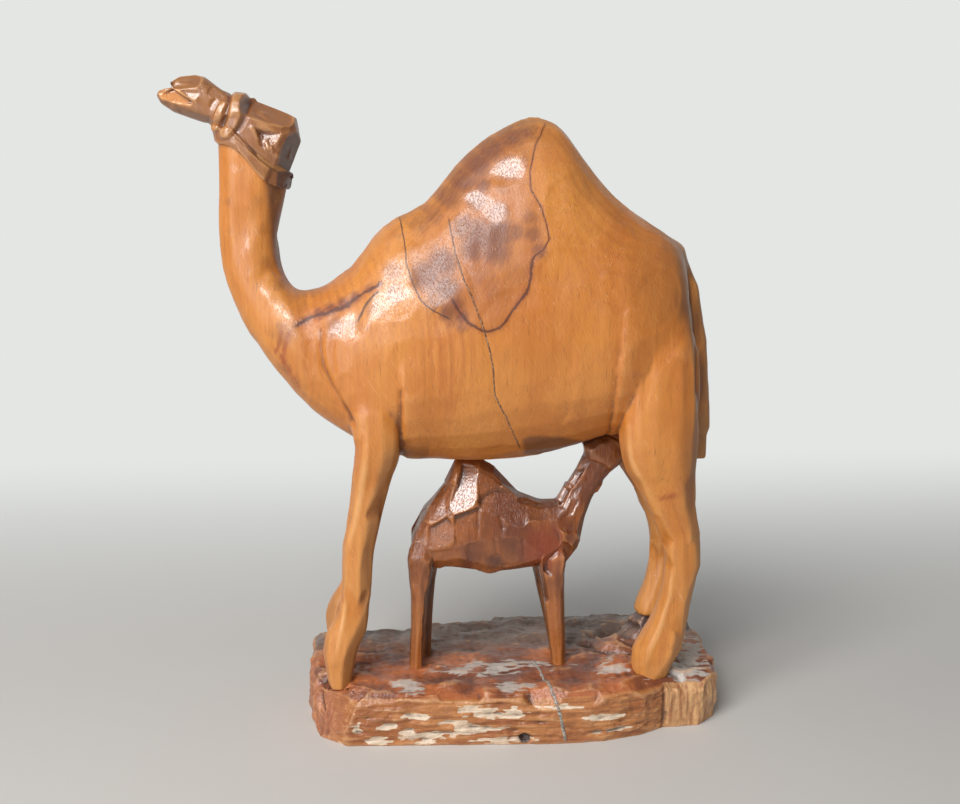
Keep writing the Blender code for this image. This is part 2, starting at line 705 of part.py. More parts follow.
def calf_hump_ribs():
    """Ribs over the calf's hump to its neck. Each row is the shares of the way from hump to chest and of the
    hump's height at the top, the way and the flank's rise at the bottom, half width, waist and squareness."""
    rows = [(-0.18, 0.485, -0.20, 1.1, 0.96, 0.38, 1.8), (-0.09, 0.975, -0.105, 1.0, 1.0, 0.36, 1.7),
            (0.105, 1.0, 0.075, 0.5, 1.0, 0.36, 1.7), (0.225, 0.81, 0.20, -0.2, 1.0, 0.38, 1.7),
            (0.44, 0.185, 0.41, 0.3, 1.0, 0.45, 2.2), (0.61, 0.0, 0.62, 0.8, 0.945, 0.5, 2.2),
            (0.75, 0.0, 0.835, 1.0, 0.85, 0.5, 2.2)]
    hump = (CALF_HUMP_X, CALF_BACK_HEIGHT)
    chest = (CALF_CHEST_X, CALF_TOP_HEIGHT)
    ribs = []
    for back, up, low, rise, width, waist, crown in rows:
        belly = (mixed(CALF_HUMP_X, CALF_CHEST_X, low), CALF_BELLY_HEIGHT + CALF_FLANK_RISE * rise)
        ribs.append(rib(between(hump, chest, back, up), belly, CALF_HALF * width, waist=waist, crown=crown))
    return ribs


def calf_torso_ribs():
    return calf_rump_ribs() + calf_hump_ribs() + [calf_neck_joint()]


def calf_head_joint():
    poll = Vector((mixed(CALF_HUMP_X, CALF_CHEST_X, 1.02), CALF_POLL_HEIGHT - CALF_POLL_RISE))
    return rib(poll, poll + Vector((CALF_NECK_DEPTH, -CALF_NECK_JOINT_FALL)), CALF_NECK_HALF)


def calf_neck_ribs():
    """Ribs of the calf's neck. Each row is the share of the way along it, the shares of its rise at the nape
    and at the throat, and the share of the half width."""
    rows = [(0.20, 0.20, 0.36, 1.26), (0.44, 0.43, 0.63, 1.04)]
    root = calf_neck_joint()
    end = calf_head_joint()
    ribs = [shifted(root, JOINT_GAP, TAILWARDS)]
    for along, nape, throat, width in rows:
        back = between(root.top, end.top, along, nape)
        front = between(root.bottom, end.bottom, along, throat)
        ribs.append(rib(back, front, CALF_NECK_HALF * width))
    return ribs + [end]


def calf_head_ribs():
    """Ribs of the calf's head, up to the muzzle under the cow's flank. Each row is a step from the poll, a
    step from the jaw, both as shares of the head's length, and the share of the half width."""
    rows = [(-0.075, -0.375, 0.40, 0.20, 1.0), (0.475, -0.10, 0.725, 0.525, 0.92),
            (1.0, 0.0, 0.925, 0.975, 0.72)]
    start = calf_head_joint()
    poll = Vector((start.top.x, CALF_POLL_HEIGHT))
    ribs = [shifted(start, JOINT_GAP, UPWARDS)]
    for ahead, up, jaw_ahead, jaw_up, width in rows:
        ribs.append(rib(poll + Vector((ahead, up)) * CALF_HEAD_LENGTH,
                        start.bottom + Vector((jaw_ahead, jaw_up)) * CALF_HEAD_LENGTH,
                        CALF_HEAD_HALF * width, crown=SQUARENESS["boxy"]))
    return ribs


def calf_leg_top(x, depth, side):
    half = CALF_SHANK_DEPTH * depth / 2
    return leg_rib(x - half, x + half, CALF_LEG_JOINT_HEIGHT, CALF_LEG_HALF * 1.24, side * CALF_LEG_SPREAD)


def calf_foreleg_top(side):
    return calf_leg_top(CALF_FORELEG_X - CALF_FAR_STRIDE / 2 * (side > 0), 1.68, side)


def calf_hindleg_top(side):
    return calf_leg_top(CALF_HINDLEG_X + CALF_FAR_STRIDE * (side > 0), 1.44, side)


def calf_leg_ribs(top, sweep, rows):
    """Ribs of a calf's leg from its joint down. sweep is how far the hoof lies behind the joint. Each row is
    the share of the way down and the shares of the shank's depth and of the leg's half width."""
    start = Vector(((top.top.x + top.bottom.x) / 2, top.top.y - JOINT_GAP))
    hoof = Vector((start.x + sweep, JOINT_GAP))
    hoof_spread = 0.85
    ribs = [shifted(top, JOINT_GAP, DOWNWARDS)]
    for share, depth, width in rows:
        place = start.lerp(hoof, share)
        half = CALF_SHANK_DEPTH * depth / 2
        ribs.append(leg_rib(place.x - half, place.x + half, place.y, CALF_LEG_HALF * width,
                            top.y * mixed(1.0, hoof_spread, share)))
    return ribs


def calf_foreleg_ribs(side):
    rows = [(0.20, 1.48, 1.08), (0.50, 1.24, 1.0), (0.80, 1.04, 0.88), (1.0, 0.84, 1.0)]
    return calf_leg_ribs(calf_foreleg_top(side), CALF_FORE_SWEEP, rows)


def calf_hindleg_ribs(side):
    rows = [(0.16, 1.20, 1.16), (0.40, 1.0, 1.0), (0.75, 0.96, 1.0), (1.0, 1.04, 1.12)]
    return calf_leg_ribs(calf_hindleg_top(side), CALF_HIND_SWEEP, rows)


def calf_stub_ribs(top):
    """The thigh or upper arm above a leg's joint, buried in the calf's body. Each row is the share of its
    height, the front and back edge's steps as shares of the shank's depth, half width and spread."""
    rows = [(0.46, -0.08, 0.24, 1.72, 1.0), (1.0, 0.20, 0.32, 1.40, 0.85)]
    ribs = [top]
    for up, front, back, width, spread in rows:
        ribs.append(leg_rib(top.top.x + CALF_SHANK_DEPTH * front, top.bottom.x + CALF_SHANK_DEPTH * back,
                            top.top.y + CALF_STUB_HEIGHT * up, CALF_LEG_HALF * width, top.y * spread))
    return ribs


def build_calf_legs(torso, stand, russet):
    for side, name in SIDES:
        legs = {"foreleg": (calf_foreleg_top(side), calf_foreleg_ribs(side)),
                "hindleg": (calf_hindleg_top(side), calf_hindleg_ribs(side))}
        for kind, (top, ribs) in legs.items():
            placed(f"calf_{kind}_{name}", lofted(ribs, CALF_LEG_SIDES), stand, russet, KNIFE_CREASE)
            stub = lofted(calf_stub_ribs(top), CALF_LEG_SIDES)
            combine(torso, "UNION", helper(f"calf_{kind}_stub_{name}", stub, stand, russet))


def build_calf(stand, russet):
    torso = placed("calf_torso", lofted(calf_torso_ribs(), CALF_SIDES), stand, russet, KNIFE_CREASE)
    placed("calf_neck", lofted(calf_neck_ribs(), CALF_SIDES), stand, russet, KNIFE_CREASE)
    placed("calf_head", lofted(calf_head_ribs(), CALF_SIDES), stand, russet, KNIFE_CREASE)
    build_calf_legs(torso, stand, russet)


def main():
    for old in list(bpy.data.objects):
        bpy.data.objects.remove(old)
    honey = honey_wood()
    putty = crack_putty()
    root = empty("camel_carving", 0.0)
    stand = empty("plinth_top", PLINTH_HEIGHT)
    stand.parent = root
    build_plinth(root, stand, sawn_wood(), putty)
    build_torso(stand, honey, putty)
    build_neck_and_head(stand, honey)
    build_legs(stand, honey)
    build_tail(stand, honey)
    build_calf(stand, russet_wood())


main()
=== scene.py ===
# %% [markdown]
# # A carved camel cow with her calf
# The real thing was cut from one block of honey-coloured wood, with the calf and the plinth left standing
# in the same block, and then varnished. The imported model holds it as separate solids. This lesson lays a
# carved and varnished skin over those solids, in the same place and at the same size.

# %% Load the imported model
import math

import bmesh
import bpy
import numpy as np
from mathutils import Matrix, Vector
from mathutils.bvhtree import BVHTree


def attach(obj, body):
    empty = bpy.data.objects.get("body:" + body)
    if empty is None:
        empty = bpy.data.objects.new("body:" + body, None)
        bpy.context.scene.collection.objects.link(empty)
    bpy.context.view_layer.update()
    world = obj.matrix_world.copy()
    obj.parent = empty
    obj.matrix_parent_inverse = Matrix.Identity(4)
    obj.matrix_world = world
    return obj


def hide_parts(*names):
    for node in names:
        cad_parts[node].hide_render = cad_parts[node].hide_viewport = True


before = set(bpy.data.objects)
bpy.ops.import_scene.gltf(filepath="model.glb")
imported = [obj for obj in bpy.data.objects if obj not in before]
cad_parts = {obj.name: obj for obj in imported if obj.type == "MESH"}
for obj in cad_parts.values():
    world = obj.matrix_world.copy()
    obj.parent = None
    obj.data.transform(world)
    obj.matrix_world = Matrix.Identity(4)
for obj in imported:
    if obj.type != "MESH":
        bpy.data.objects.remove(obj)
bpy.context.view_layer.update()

MM = 0.001

# %% [markdown]
# ## Reading and moving the points of a skin
# A carver takes wood away a little at a time. In code that is a move of every point of a fine mesh, so the
# points, their outward directions and the edges between them are read into arrays. Sculpting by hand would
# look alike, but could not be run again with the same result.

# %% Points, outward directions and edges as arrays
def points_of(mesh):
    spots = np.empty(len(mesh.vertices) * 3, np.float32)
    mesh.vertices.foreach_get("co", spots)
    return spots.reshape(-1, 3).astype(float)


def outward_of(mesh):
    ways = np.empty(len(mesh.vertices) * 3, np.float32)
    mesh.vertices.foreach_get("normal", ways)
    return ways.reshape(-1, 3).astype(float)


def skin_of(piece):
    """The points of a piece and their outward directions."""
    return points_of(piece.data), outward_of(piece.data)


def edges_of(mesh):
    ends = np.empty(len(mesh.edges) * 2, np.int32)
    mesh.edges.foreach_get("vertices", ends)
    return ends.reshape(-1, 2)


def move_points(mesh, spots):
    mesh.vertices.foreach_set("co", spots.astype(np.float32).ravel())
    mesh.update()


def eased(values, start, end):
    """0 before start, 1 after end, and a soft S between them."""
    share = np.clip((values - start) / (end - start), 0, 1)
    return share * share * (3 - 2 * share)


# %% [markdown]
# ## One skin over several solids
# The solids keep a thin gap between them, but the carving shows no joints. Copies of the solids are swollen
# until the gaps close, and a voxel Remesh draws one skin round them all. A Boolean union would keep every
# facet of the solids, while the remesh gives even small faces that can be carved.

# %% A blank to carve, made from copies of the solids
SWELL = 0.2 * MM
WELD = 0.001 * MM
SAW_HALF = 20 * MM


def saw_cut(outline):
    """A closed prism across the whole block, from an outline in side view."""
    shape = bmesh.new()
    ring = shape.faces.new([shape.verts.new((along * MM, -SAW_HALF, up * MM)) for along, up in outline])
    grown = bmesh.ops.extrude_face_region(shape, geom=[ring])["geom"]
    far_side = [part for part in grown if isinstance(part, bmesh.types.BMVert)]
    bmesh.ops.translate(shape, verts=far_side, vec=(0, 2 * SAW_HALF, 0))
    bmesh.ops.recalc_face_normals(shape, faces=shape.faces[:])
    cut = bpy.data.objects.new("saw_cut", bpy.data.meshes.new("saw_cut"))
    shape.to_mesh(cut.data)
    shape.free()
    bpy.context.scene.collection.objects.link(cut)
    return cut


def one_skin(blank, grain):
    skin = blank.modifiers.new("one skin", "REMESH")
    skin.mode = "VOXEL"
    skin.voxel_size = grain


def carving_blank(name, copied, replaced, grain, outlines=()):
    block = bmesh.new()
    for node in copied:
        block.from_mesh(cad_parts[node].data)
    bmesh.ops.remove_doubles(block, verts=block.verts[:], dist=WELD)
    bmesh.ops.recalc_face_normals(block, faces=block.faces[:])
    block.normal_update()
    for corner in block.verts:
        corner.co += corner.normal * SWELL
    blank = bpy.data.objects.new(name, bpy.data.meshes.new(name))
    block.to_mesh(blank.data)
    block.free()
    bpy.context.scene.collection.objects.link(blank)
    one_skin(blank, grain)
    cuts = [saw_cut(outline) for outline in outlines]
    for cut in cuts:
        sawn = blank.modifiers.new("sawn", "BOOLEAN")
        sawn.operation = "DIFFERENCE"
        sawn.object = cut
    if cuts:
        one_skin(blank, grain)
    graph = bpy.context.evaluated_depsgraph_get()
    blank.data = bpy.data.meshes.new_from_object(blank.evaluated_get(graph))
    blank.modifiers.clear()
    for cut in cuts:
        bpy.data.objects.remove(cut)
    blank.data.shade_smooth()
    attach(blank, "root")
    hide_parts(*replaced)
    print(name, "has", len(blank.data.polygons), "faces")
    return blank


# %% [markdown]
# ## Rubbing down
# Sanding evens out small steps but leaves the form. Plain averaging would also thin the legs, so each round
# first pulls every point towards its neighbours and then pushes it back a little more.

# %% Average of the neighbours, and rubbing down
def neighbour_mean(values, ends):
    count = len(values)
    shares = np.bincount(ends.ravel(), minlength=count)
    total = np.empty_like(values)
    for column in range(values.shape[1]):
        part = values[:, column]
        total[:, column] = np.bincount(ends[:, 0], part[ends[:, 1]], count)
        total[:, column] += np.bincount(ends[:, 1], part[ends[:, 0]], count)
    return total / np.maximum(shares, 1)[:, None]


def rubbed(spots, ends, rounds, pull=0.5, push=-0.53, where=1.0):
    share = np.broadcast_to(where, len(spots))[:, None]
    for _ in range(rounds):
        for step in (pull, push):
            spots = spots + step * share * (neighbour_mean(spots, ends) - spots)
    return spots


def worn_round(spots, ends, rounds, where=1.0):
    """Plain averaging, which rounds the form as well."""
    return rubbed(spots, ends, rounds, push=0.5, where=where)


def near_spots(spots, balls, core=0.6):
    """1 in the core of any ball, 0 outside. Balls are given as centre and size in mm, and on both sides."""
    folded = np.column_stack([spots[:, 0], -np.abs(spots[:, 1]), spots[:, 2]]) / MM
    total = np.zeros(len(spots))
    for centre, size in balls:
        gone = np.linalg.norm(folded - np.array(centre), axis=1)
        total = np.maximum(total, 1 - eased(gone, core * size, size))
    return total


# %% [markdown]
# ## Tools of the carver
# A flat knife leaves a small plane, a V tool leaves a line, and a chisel set along a line leaves a step. Each
# is written here as one move of the points near it. The lines are drawn in side view, as the carver pencils
# them on the block.

# %% Knife planes
def shave(spots, outward, centre, facing, reach, depth, stretch=(1, 1, 1), agree=0.8):
    """Flattens what stands over a plane a little under the surface at centre, where it faces alike."""
    facing = np.array(facing, float) / np.linalg.norm(facing)
    away = spots - np.array(centre)
    height = away @ facing + depth
    spread = np.linalg.norm(away / np.array(stretch), axis=1)
    share = (1 - eased(spread, 0.85 * reach, reach)) * (1 - eased(height, 4 * depth, 8 * depth))
    share *= eased(outward @ facing, agree - 0.3, agree)
    spots -= (np.clip(height, 0, None) * share)[:, None] * facing


def shave_side(spots, outward, plane, side, agree=0.8):
    """A plane given as centre, facing, reach and depth in mm, or its mirror image where side is -1."""
    centre, facing, reach, depth = plane
    turn = np.array([1, side, 1])
    facing = np.array(facing) * turn
    shave(spots, outward, np.array(centre) * MM * turn, facing, reach * MM, depth * MM, agree=agree)


def knife_planes(spots, outward, count, reach, depth, seed, stretch=(1, 1, 1), where=None, agree=0.8):
    """Many small planes at points picked by a seeded draw."""
    draw = np.random.default_rng(seed)
    allowed = np.arange(len(spots)) if where is None else np.flatnonzero(where)
    for pick in draw.choice(allowed, count):
        lean = outward[pick] + draw.normal(0, 0.08, 3)
        size = draw.uniform(0.6, 1.3)
        shave(spots, outward, spots[pick], lean, reach * size, depth * size, stretch, agree)


def capped(start, spots, most):
    """Lets no point move much further than a set depth from where it started."""
    moved = spots - start
    length = np.maximum(np.linalg.norm(moved, axis=1), 1e-9)
    return start + moved * (most * np.tanh(length / most) / length)[:, None]


def bulging(spots, outward, ends, rounds):
    """True where the wood stands out from a smoother copy of its skin."""
    return ((worn_round(spots, ends, rounds) - spots) * outward).sum(axis=1) < 0


# %% Lines, ridges and steps
def route_reach(flat, route):
    """Distance from flat points to a route, and on which side of it they lie."""
    best = np.full(len(flat), np.inf)
    side = np.zeros(len(flat))
    route = np.array(route) * MM
    for start, end in zip(route[:-1], route[1:]):
        way = end - start
        along = np.clip((flat - start) @ way / (way @ way), 0, 1)
        away = flat - start - along[:, None] * way
        far = np.linalg.norm(away, axis=1)
        nearer = far < best
        best[nearer] = far[nearer]
        side[nearer] = np.sign(way[0] * away[:, 1] - way[1] * away[:, 0])[nearer]
    return best, side


def side_view(spots):
    return spots[:, [0, 2]]


def score(spots, outward, route, width, depth, where=1.0):
    """A line cut with a V tool."""
    far, _ = route_reach(side_view(spots), route)
    spots -= (where * depth * np.exp(-((far / width) ** 2)))[:, None] * outward


def ridge_up(spots, outward, route, width, height, where=1.0, flat=0.35):
    """A ridge left standing along a line, with a flat top over a share of its width."""
    far, _ = route_reach(side_view(spots), route)
    spots += (where * height * (1 - eased(far, flat * width, width)))[:, None] * outward


def sink_feet(spots, depth, level, where=1.0):
    """Pushes the soles a little into the wood below, because legs and plinth are one block."""
    spots[:, 2] -= where * depth * (1 - eased(spots[:, 2], level + 0.6 * MM, level + 3 * MM))


def step_up(spots, outward, route, height, fade, where=1.0):
    """Leaves the wood on one side of a line standing proud, fading out over some distance."""
    far, side = route_reach(side_view(spots), route)
    rise = np.where(side > 0, 1 - eased(far, 0.2 * fade, fade), 0)
    rise *= eased(far, 0, 0.6 * MM)
    spots += (where * height * rise)[:, None] * outward


# %% Outlines, and flat cuts inside them
def within(flat, outline):
    """True for the flat points inside an outline."""
    inside = np.zeros(len(flat), bool)
    corners = np.array(outline) * MM
    for start, end in zip(corners, np.roll(corners, -1, axis=0)):
        spans = (start[1] > flat[:, 1]) != (end[1] > flat[:, 1])
        crossing = start[0] + (flat[:, 1] - start[1]) / (end[1] - start[1] + 1e-12) * (end[0] - start[0])
        inside ^= spans & (flat[:, 0] < crossing)
    return inside


def edge_reach(flat, outline):
    """Distance to the edge of an outline, positive inside and negative outside."""
    far, _ = route_reach(flat, list(outline) + [outline[0]])
    return np.where(within(flat, outline), far, -far)


def plane_cut(spots, outward, outline, depth, towards, lean, soft=0.35 * MM, fill=0.3 * MM):
    """One flat cut inside an outline on the near side, leaning from the wood's own facing to a given one."""
    share = eased(edge_reach(side_view(spots), outline), -0.5 * soft, soft) * (outward[:, 1] < -0.1)
    inside = share > 0.5
    facing = outward[inside].mean(axis=0)
    facing = (1 - lean) * facing / np.linalg.norm(facing) + lean * np.array(towards)
    facing /= np.linalg.norm(facing)
    height = (spots - spots[inside].mean(axis=0)) @ facing + depth
    spots -= (np.clip(height, -fill, None) * share)[:, None] * facing


# %% Whittling, and gentle unevenness
def whittle(spots, limb, breaks, trim, most, seed, ways=8):
    """Pares a limb to long flat planes that change at a few heights, as straight strokes of a knife do."""
    draw = np.random.default_rng(seed)
    start = spots[limb]
    stops = np.array(breaks) * MM + draw.normal(0, 1.2 * MM, len(breaks))
    stops = np.sort(np.clip(stops, start[:, 2].min(), start[:, 2].max()))
    pared = start.copy()
    for turn in range(ways):
        angle = 2 * math.pi * (turn + draw.uniform(-0.2, 0.2)) / ways
        way = np.array([math.cos(angle), math.sin(angle), 0])
        reach = pared @ way
        tips = [reach[np.abs(pared[:, 2] - stop) < 2 * MM].max() for stop in stops]
        over = np.clip(reach - np.interp(pared[:, 2], stops, tips) + trim, 0, None)
        over *= 1 - eased(pared[:, 2], stops[-1] - 6 * MM, stops[-1])
        pared -= over[:, None] * way
    spots[limb] = capped(start, pared, most)


def rolling(spots, length, seed, stretch=(1, 1, 1), waves=14):
    """Smooth unevenness with a given length, from a seeded sum of waves."""
    draw = np.random.default_rng(seed)
    total = np.zeros(len(spots))
    for _ in range(waves):
        way = draw.normal(size=3)
        way *= 2 * math.pi / (length * draw.uniform(0.7, 1.5) * np.linalg.norm(way))
        total += np.sin(spots / np.array(stretch) @ way + draw.uniform(0, 2 * math.pi))
    return total / math.sqrt(waves / 2)


# %% [markdown]
# ## Marks for the finish
# Varnish and stain gather in hollows and rub off on ridges, and the darker hollows are also painted shade and
# the lighter ridges painted highlight. How far a point lies under or over a much smoother copy of its skin
# says which it is. The value is kept on the points, so that a material can read it by name.

# %% Values kept on the points
def mark(mesh, name, values):
    kept = mesh.attributes.new(name, "FLOAT", "POINT")
    kept.data.foreach_set("value", np.asarray(values, np.float32))


def mark_hollows(mesh, rounds, depth):
    spots, ends = points_of(mesh), edges_of(mesh)
    smooth = worn_round(spots, ends, rounds)
    under = ((smooth - spots) * outward_of(mesh)).sum(axis=1) / depth
    mark(mesh, "hollow", np.clip(under, 0, 1))
    mark(mesh, "ridge", np.clip(-under, 0, 1))


# %% [markdown]
# ## The cow
# Trunk, neck, legs and tail run into one another, so they share one blank. The cow is smooth and rubbed
# down, with a scored line behind the neck, steps at the shoulder and the haunch, and long knife planes left
# on the legs. The lines follow the side view of the real carving, in millimetres from the plinth's middle.

# %% Blank of the cow, rubbed down
COW_NODES = ["cow_torso", "cow_neck", "cow_tail", "cow_foreleg_near", "cow_foreleg_far",
             "cow_hindleg_near", "cow_hindleg_far"]
COW_GRAIN = 0.85 * MM
SOFT_JOINS = [((46, -21, 148), 22), ((-46, -19, 124), 14), ((-72, -8, 146), 17), ((-62, -14, 128), 14)]

cow = carving_blank("carved_cow", COW_NODES + ["flank_crack_fill"], COW_NODES, COW_GRAIN)
cow_ends = edges_of(cow.data)
spots = rubbed(points_of(cow.data), cow_ends, 10)
spots = worn_round(spots, cow_ends, 14, near_spots(spots, SOFT_JOINS))

# %% The tail, rounded and tapered, and the soles sunk into the plinth
TAIL_ROOT = ((57, 0, 163), 8.5)
TAIL_SWELL = 2.6 * MM
TAIL_ROUNDING = [((61, 0, 158.5), 8), ((66, 0, 142), 10), ((67, 0, 125), 10), ((67, 0, 108), 10)]
TAIL_FACE = 57.5 * MM
TAIL_EDGE = (4.6 * MM, 6 * MM)
TAIL_ENDS = (92 * MM, 152 * MM)
TAIL_TAPER = 0.28
PLINTH_TOP = 18.5 * MM
FOOT_SINK = 1.2 * MM
STUMP_HEIGHT = 11.2 * MM

spots[:, 0] += TAIL_SWELL * near_spots(spots, [TAIL_ROOT], 0.2)
spots = worn_round(spots, cow_ends, 8, near_spots(spots, TAIL_ROUNDING, 0.5))
spots = worn_round(spots, cow_ends, 40, near_spots(spots, TAIL_ROUNDING[:1], 0.3))
on_tail = (spots[:, 0] > TAIL_FACE) * (1 - eased(np.abs(spots[:, 1]), *TAIL_EDGE))
spots[:, 1] *= 1 - TAIL_TAPER * on_tail * (1 - eased(spots[:, 2], *TAIL_ENDS))
on_stump = (spots[:, 0] > 25 * MM) & (spots[:, 1] > 2 * MM)
sink_feet(spots, FOOT_SINK, PLINTH_TOP)
sink_feet(spots, FOOT_SINK, PLINTH_TOP + STUMP_HEIGHT, on_stump)
move_points(cow.data, spots)
print("points on the tail:", int((on_tail > 0).sum()))

# %% Lines and steps on the cow
CHEST_LINE = [(-64.2, 139), (-64.2, 134), (-63.7, 127.6), (-61, 121), (-57.6, 114.7), (-54.1, 108.8)]
SECOND_ARC = [(-60.3, 136), (-60.6, 131), (-59.6, 125.7)]
ELBOW_LINE = [(-38.4, 120), (-38.5, 116), (-38.7, 110), (-38.5, 103), (-38, 95)]
HAUNCH_LINE = [(31.5, 136), (30.6, 129.5), (30.4, 123), (30, 116), (30.4, 107), (32, 98)]
TAIL_LINE = [(58, 156), (57.2, 146), (57, 138), (57.8, 119), (61, 100), (62, 93)]
FOREARM_HEIGHTS = (58 * MM, 70 * MM, 100 * MM, 108 * MM)
FOREARM_PARED = 1.1 * MM
FORELEG_REAR = -45 * MM

spots, outward = skin_of(cow)
flanks = eased(np.abs(spots[:, 1]), 4 * MM, 9 * MM)
knee, shin, arm, chest = FOREARM_HEIGHTS
along_arm = eased(spots[:, 2], knee, shin) * (1 - eased(spots[:, 2], arm, chest))
along_arm *= spots[:, 0] < FORELEG_REAR
spots[:, 0] += FOREARM_PARED * along_arm * eased(-outward[:, 0], 0.2, 0.7)
score(spots, outward, CHEST_LINE, 0.9 * MM, 1.0 * MM, flanks)
score(spots, outward, SECOND_ARC, 0.8 * MM, 0.5 * MM, flanks)
step_up(spots, outward, ELBOW_LINE, 0.9 * MM, 12 * MM, flanks)
score(spots, outward, ELBOW_LINE, 0.8 * MM, 0.8 * MM, flanks)
step_up(spots, outward, HAUNCH_LINE, 0.8 * MM, 14 * MM, flanks)
score(spots, outward, HAUNCH_LINE, 0.8 * MM, 0.5 * MM, flanks)
score(spots, outward, TAIL_LINE, 1.0 * MM, 0.7 * MM, flanks)
moved = np.linalg.norm(spots - points_of(cow.data), axis=1).max()
move_points(cow.data, spots)
print("lines and steps moved the wood by up to", round(float(moved / MM), 1), "mm")

# %% Knife planes on the cow
LEG_TOP = 92 * MM
LEG_STOCK = 0.4 * MM
LEG_BREAKS = [17, 27, 36, 47, 58, 68, 80, 93]
NECK_BREAKS = [146, 157, 168, 179, 189, 198]
BELLY_PLANE = ((14, -15, 97.5), (0.1, -0.42, -0.9), 19, 1.5)
# Width and route of each ridge
LEG_RIDGES = [(2.2, [(-49.6, 101.8), (-51.8, 86.8), (-54.3, 75.4), (-57.1, 66.1)]),
              (1.6, [(-56.8, 53.3), (-59.6, 38.5), (-62.1, 26.9)]),
              (1.7, [(51, 61.7), (51.5, 55.3), (51.8, 46.8), (48.4, 34.8), (45.3, 28.1), (43.3, 22.2)]),
              (1.9, [(34.6, 106.6), (35.8, 96.3), (41, 85.8), (45.4, 76.5)])]
RIDGE_HEIGHT = 0.4 * MM

spots, outward = skin_of(cow)
legs = spots[:, 2] < LEG_TOP
neck = (spots[:, 0] < -66 * MM) & (spots[:, 2] > 120 * MM)
proud = bulging(spots, outward, cow_ends, 40)
spots += LEG_STOCK * outward * (legs * (1 - eased(spots[:, 2], 80 * MM, LEG_TOP)))[:, None]
uncut = spots.copy()
for side in (1, -1):
    shave_side(spots, outward, BELLY_PLANE, side)
    for end in (1, -1):
        limb = np.flatnonzero(legs & (spots[:, 0] * end > 0) & (spots[:, 1] * side > 0))
        breaks = [stop for stop in LEG_BREAKS if stop * MM > spots[limb, 2].min() - 3 * MM]
        whittle(spots, limb, breaks, 0.8 * MM, 1.6 * MM, seed=15 + 2 * side + end, ways=7)
upper_neck = np.flatnonzero(neck & (spots[:, 2] > 144 * MM))
whittle(spots, upper_neck, NECK_BREAKS, 0.35 * MM, 0.7 * MM, seed=12)
long_planes = (legs | neck) & proud
knife_planes(spots, outward, 40, 8 * MM, 0.3 * MM, seed=11, stretch=(1, 1, 2), where=long_planes)
spots = capped(uncut, spots, 1.6 * MM)
uncut = spots.copy()
knife_planes(spots, outward, 110, 12 * MM, 0.2 * MM, seed=13, where=~legs & ~neck & proud, agree=0.9)
spots = capped(uncut, spots, 0.22 * MM)
sideways = eased(np.abs(outward[:, 1]), 0.3, 0.7)
for width, route in LEG_RIDGES:
    ridge_up(spots, outward, route, width * MM, RIDGE_HEIGHT, sideways, flat=0.1)
spots += (0.04 * MM * rolling(spots, 6 * MM, seed=14, stretch=(1, 1, 3)))[:, None] * outward
move_points(cow.data, rubbed(spots, cow_ends, 1))
mark_hollows(cow.data, 30, 0.8 * MM)
print("cow whittled,", int(legs.sum()), "points on the legs")

# %% [markdown]
# ## Planes that catch the window
# Some flat cuts on the shoulder, the hump and the neck throw the window's light straight to the viewer. Such
# a plane faces halfway between the two, so the places of the window and of the viewer are set first. Each
# cut leans the wood only part of the way, and stays thinner than a millimetre. The varnish is thickest on
# these planes and along the ridges of the legs, where a lighter colour is also painted on as a highlight, so
# marks named shine and painted_edge_highlight are kept for the finish.

# %% Bright planes on the shoulder, the hump and the neck
VIEWER = np.array((-35.39, -338.35, 171.5)) * MM
WINDOW = np.array((-440, -640, 750)) * MM
FLANK_DEPTH = -18 * MM
PLAIN_SHINE = 0.22
# Share of the lean, softness of the border, gloss, and the outline in side view
BRIGHT_CUTS = [
    (0.85, 1.5, 1.0, [(-64.5, 136.9), (-61.7, 140), (-57.8, 142.2), (-53.9, 144.1), (-51.4, 143.7),
                      (-51.1, 138.9), (-52.2, 136.8), (-60.6, 136)]),
    (0.9, 1.5, 1.0, [(-51.1, 139.2), (-49.2, 144.8), (-46.1, 149.6), (-42.8, 151.8), (-37.4, 153.4),
                     (-34.7, 151.6), (-34.2, 149.5), (-39.6, 148.2), (-43.4, 145.5), (-46.7, 141.7),
                     (-48.4, 139.3)]),
    (0.75, 1.5, 0.5, [(-46.7, 150.7), (-44.5, 157.1), (-39.5, 160.8), (-36.2, 161.4), (-35.2, 154),
                      (-41.7, 151.8)]),
    (0.5, 2.0, 0.34, [(-35.7, 161.9), (-24.7, 165.7), (-22.2, 159.3), (-19.7, 151.4), (-19.2, 145.6),
                      (-25.1, 144), (-28.9, 145), (-33.1, 150.8)]),
    (0.85, 1.5, 1.0, [(-10.2, 186.7), (-6.7, 191.1), (-1.1, 196.1), (3.2, 194.9), (2.4, 189.9), (0, 186.1),
                      (-4.9, 184.5)]),
    (0.85, 1.5, 0.9, [(-20, 181.4), (-15.1, 183.5), (-10.9, 180.7), (-4.6, 177.5), (-3.6, 174.3),
                      (-8.5, 172.1), (-13.2, 175.9), (-16.3, 179.1)]),
    (0.8, 1.0, 1.0, [(-85.6, 153.9), (-83.6, 153.6), (-78.6, 148.8), (-79.9, 147.4)]),
    (0.8, 1.0, 1.0, [(-78.6, 148.8), (-75.6, 145.8), (-69.4, 141), (-69.9, 139.9), (-75.1, 142.6),
                     (-79.9, 147.4)]),
    (0.8, 1.0, 1.0, [(-91.7, 189.9), (-89.6, 190.9), (-87.2, 190), (-87.4, 188.7), (-90.1, 188)]),
    (0.6, 3.0, 0.5, [(-90.5, 176.4), (-83.6, 175.2), (-83.9, 163.8), (-82.8, 154.3), (-86.6, 154.3),
                     (-89.6, 163.8)]),
]
BRIGHT_DEPTH, BRIGHT_FILL, BRIGHT_MOST = 0.05 * MM, 0.6 * MM, 0.95 * MM


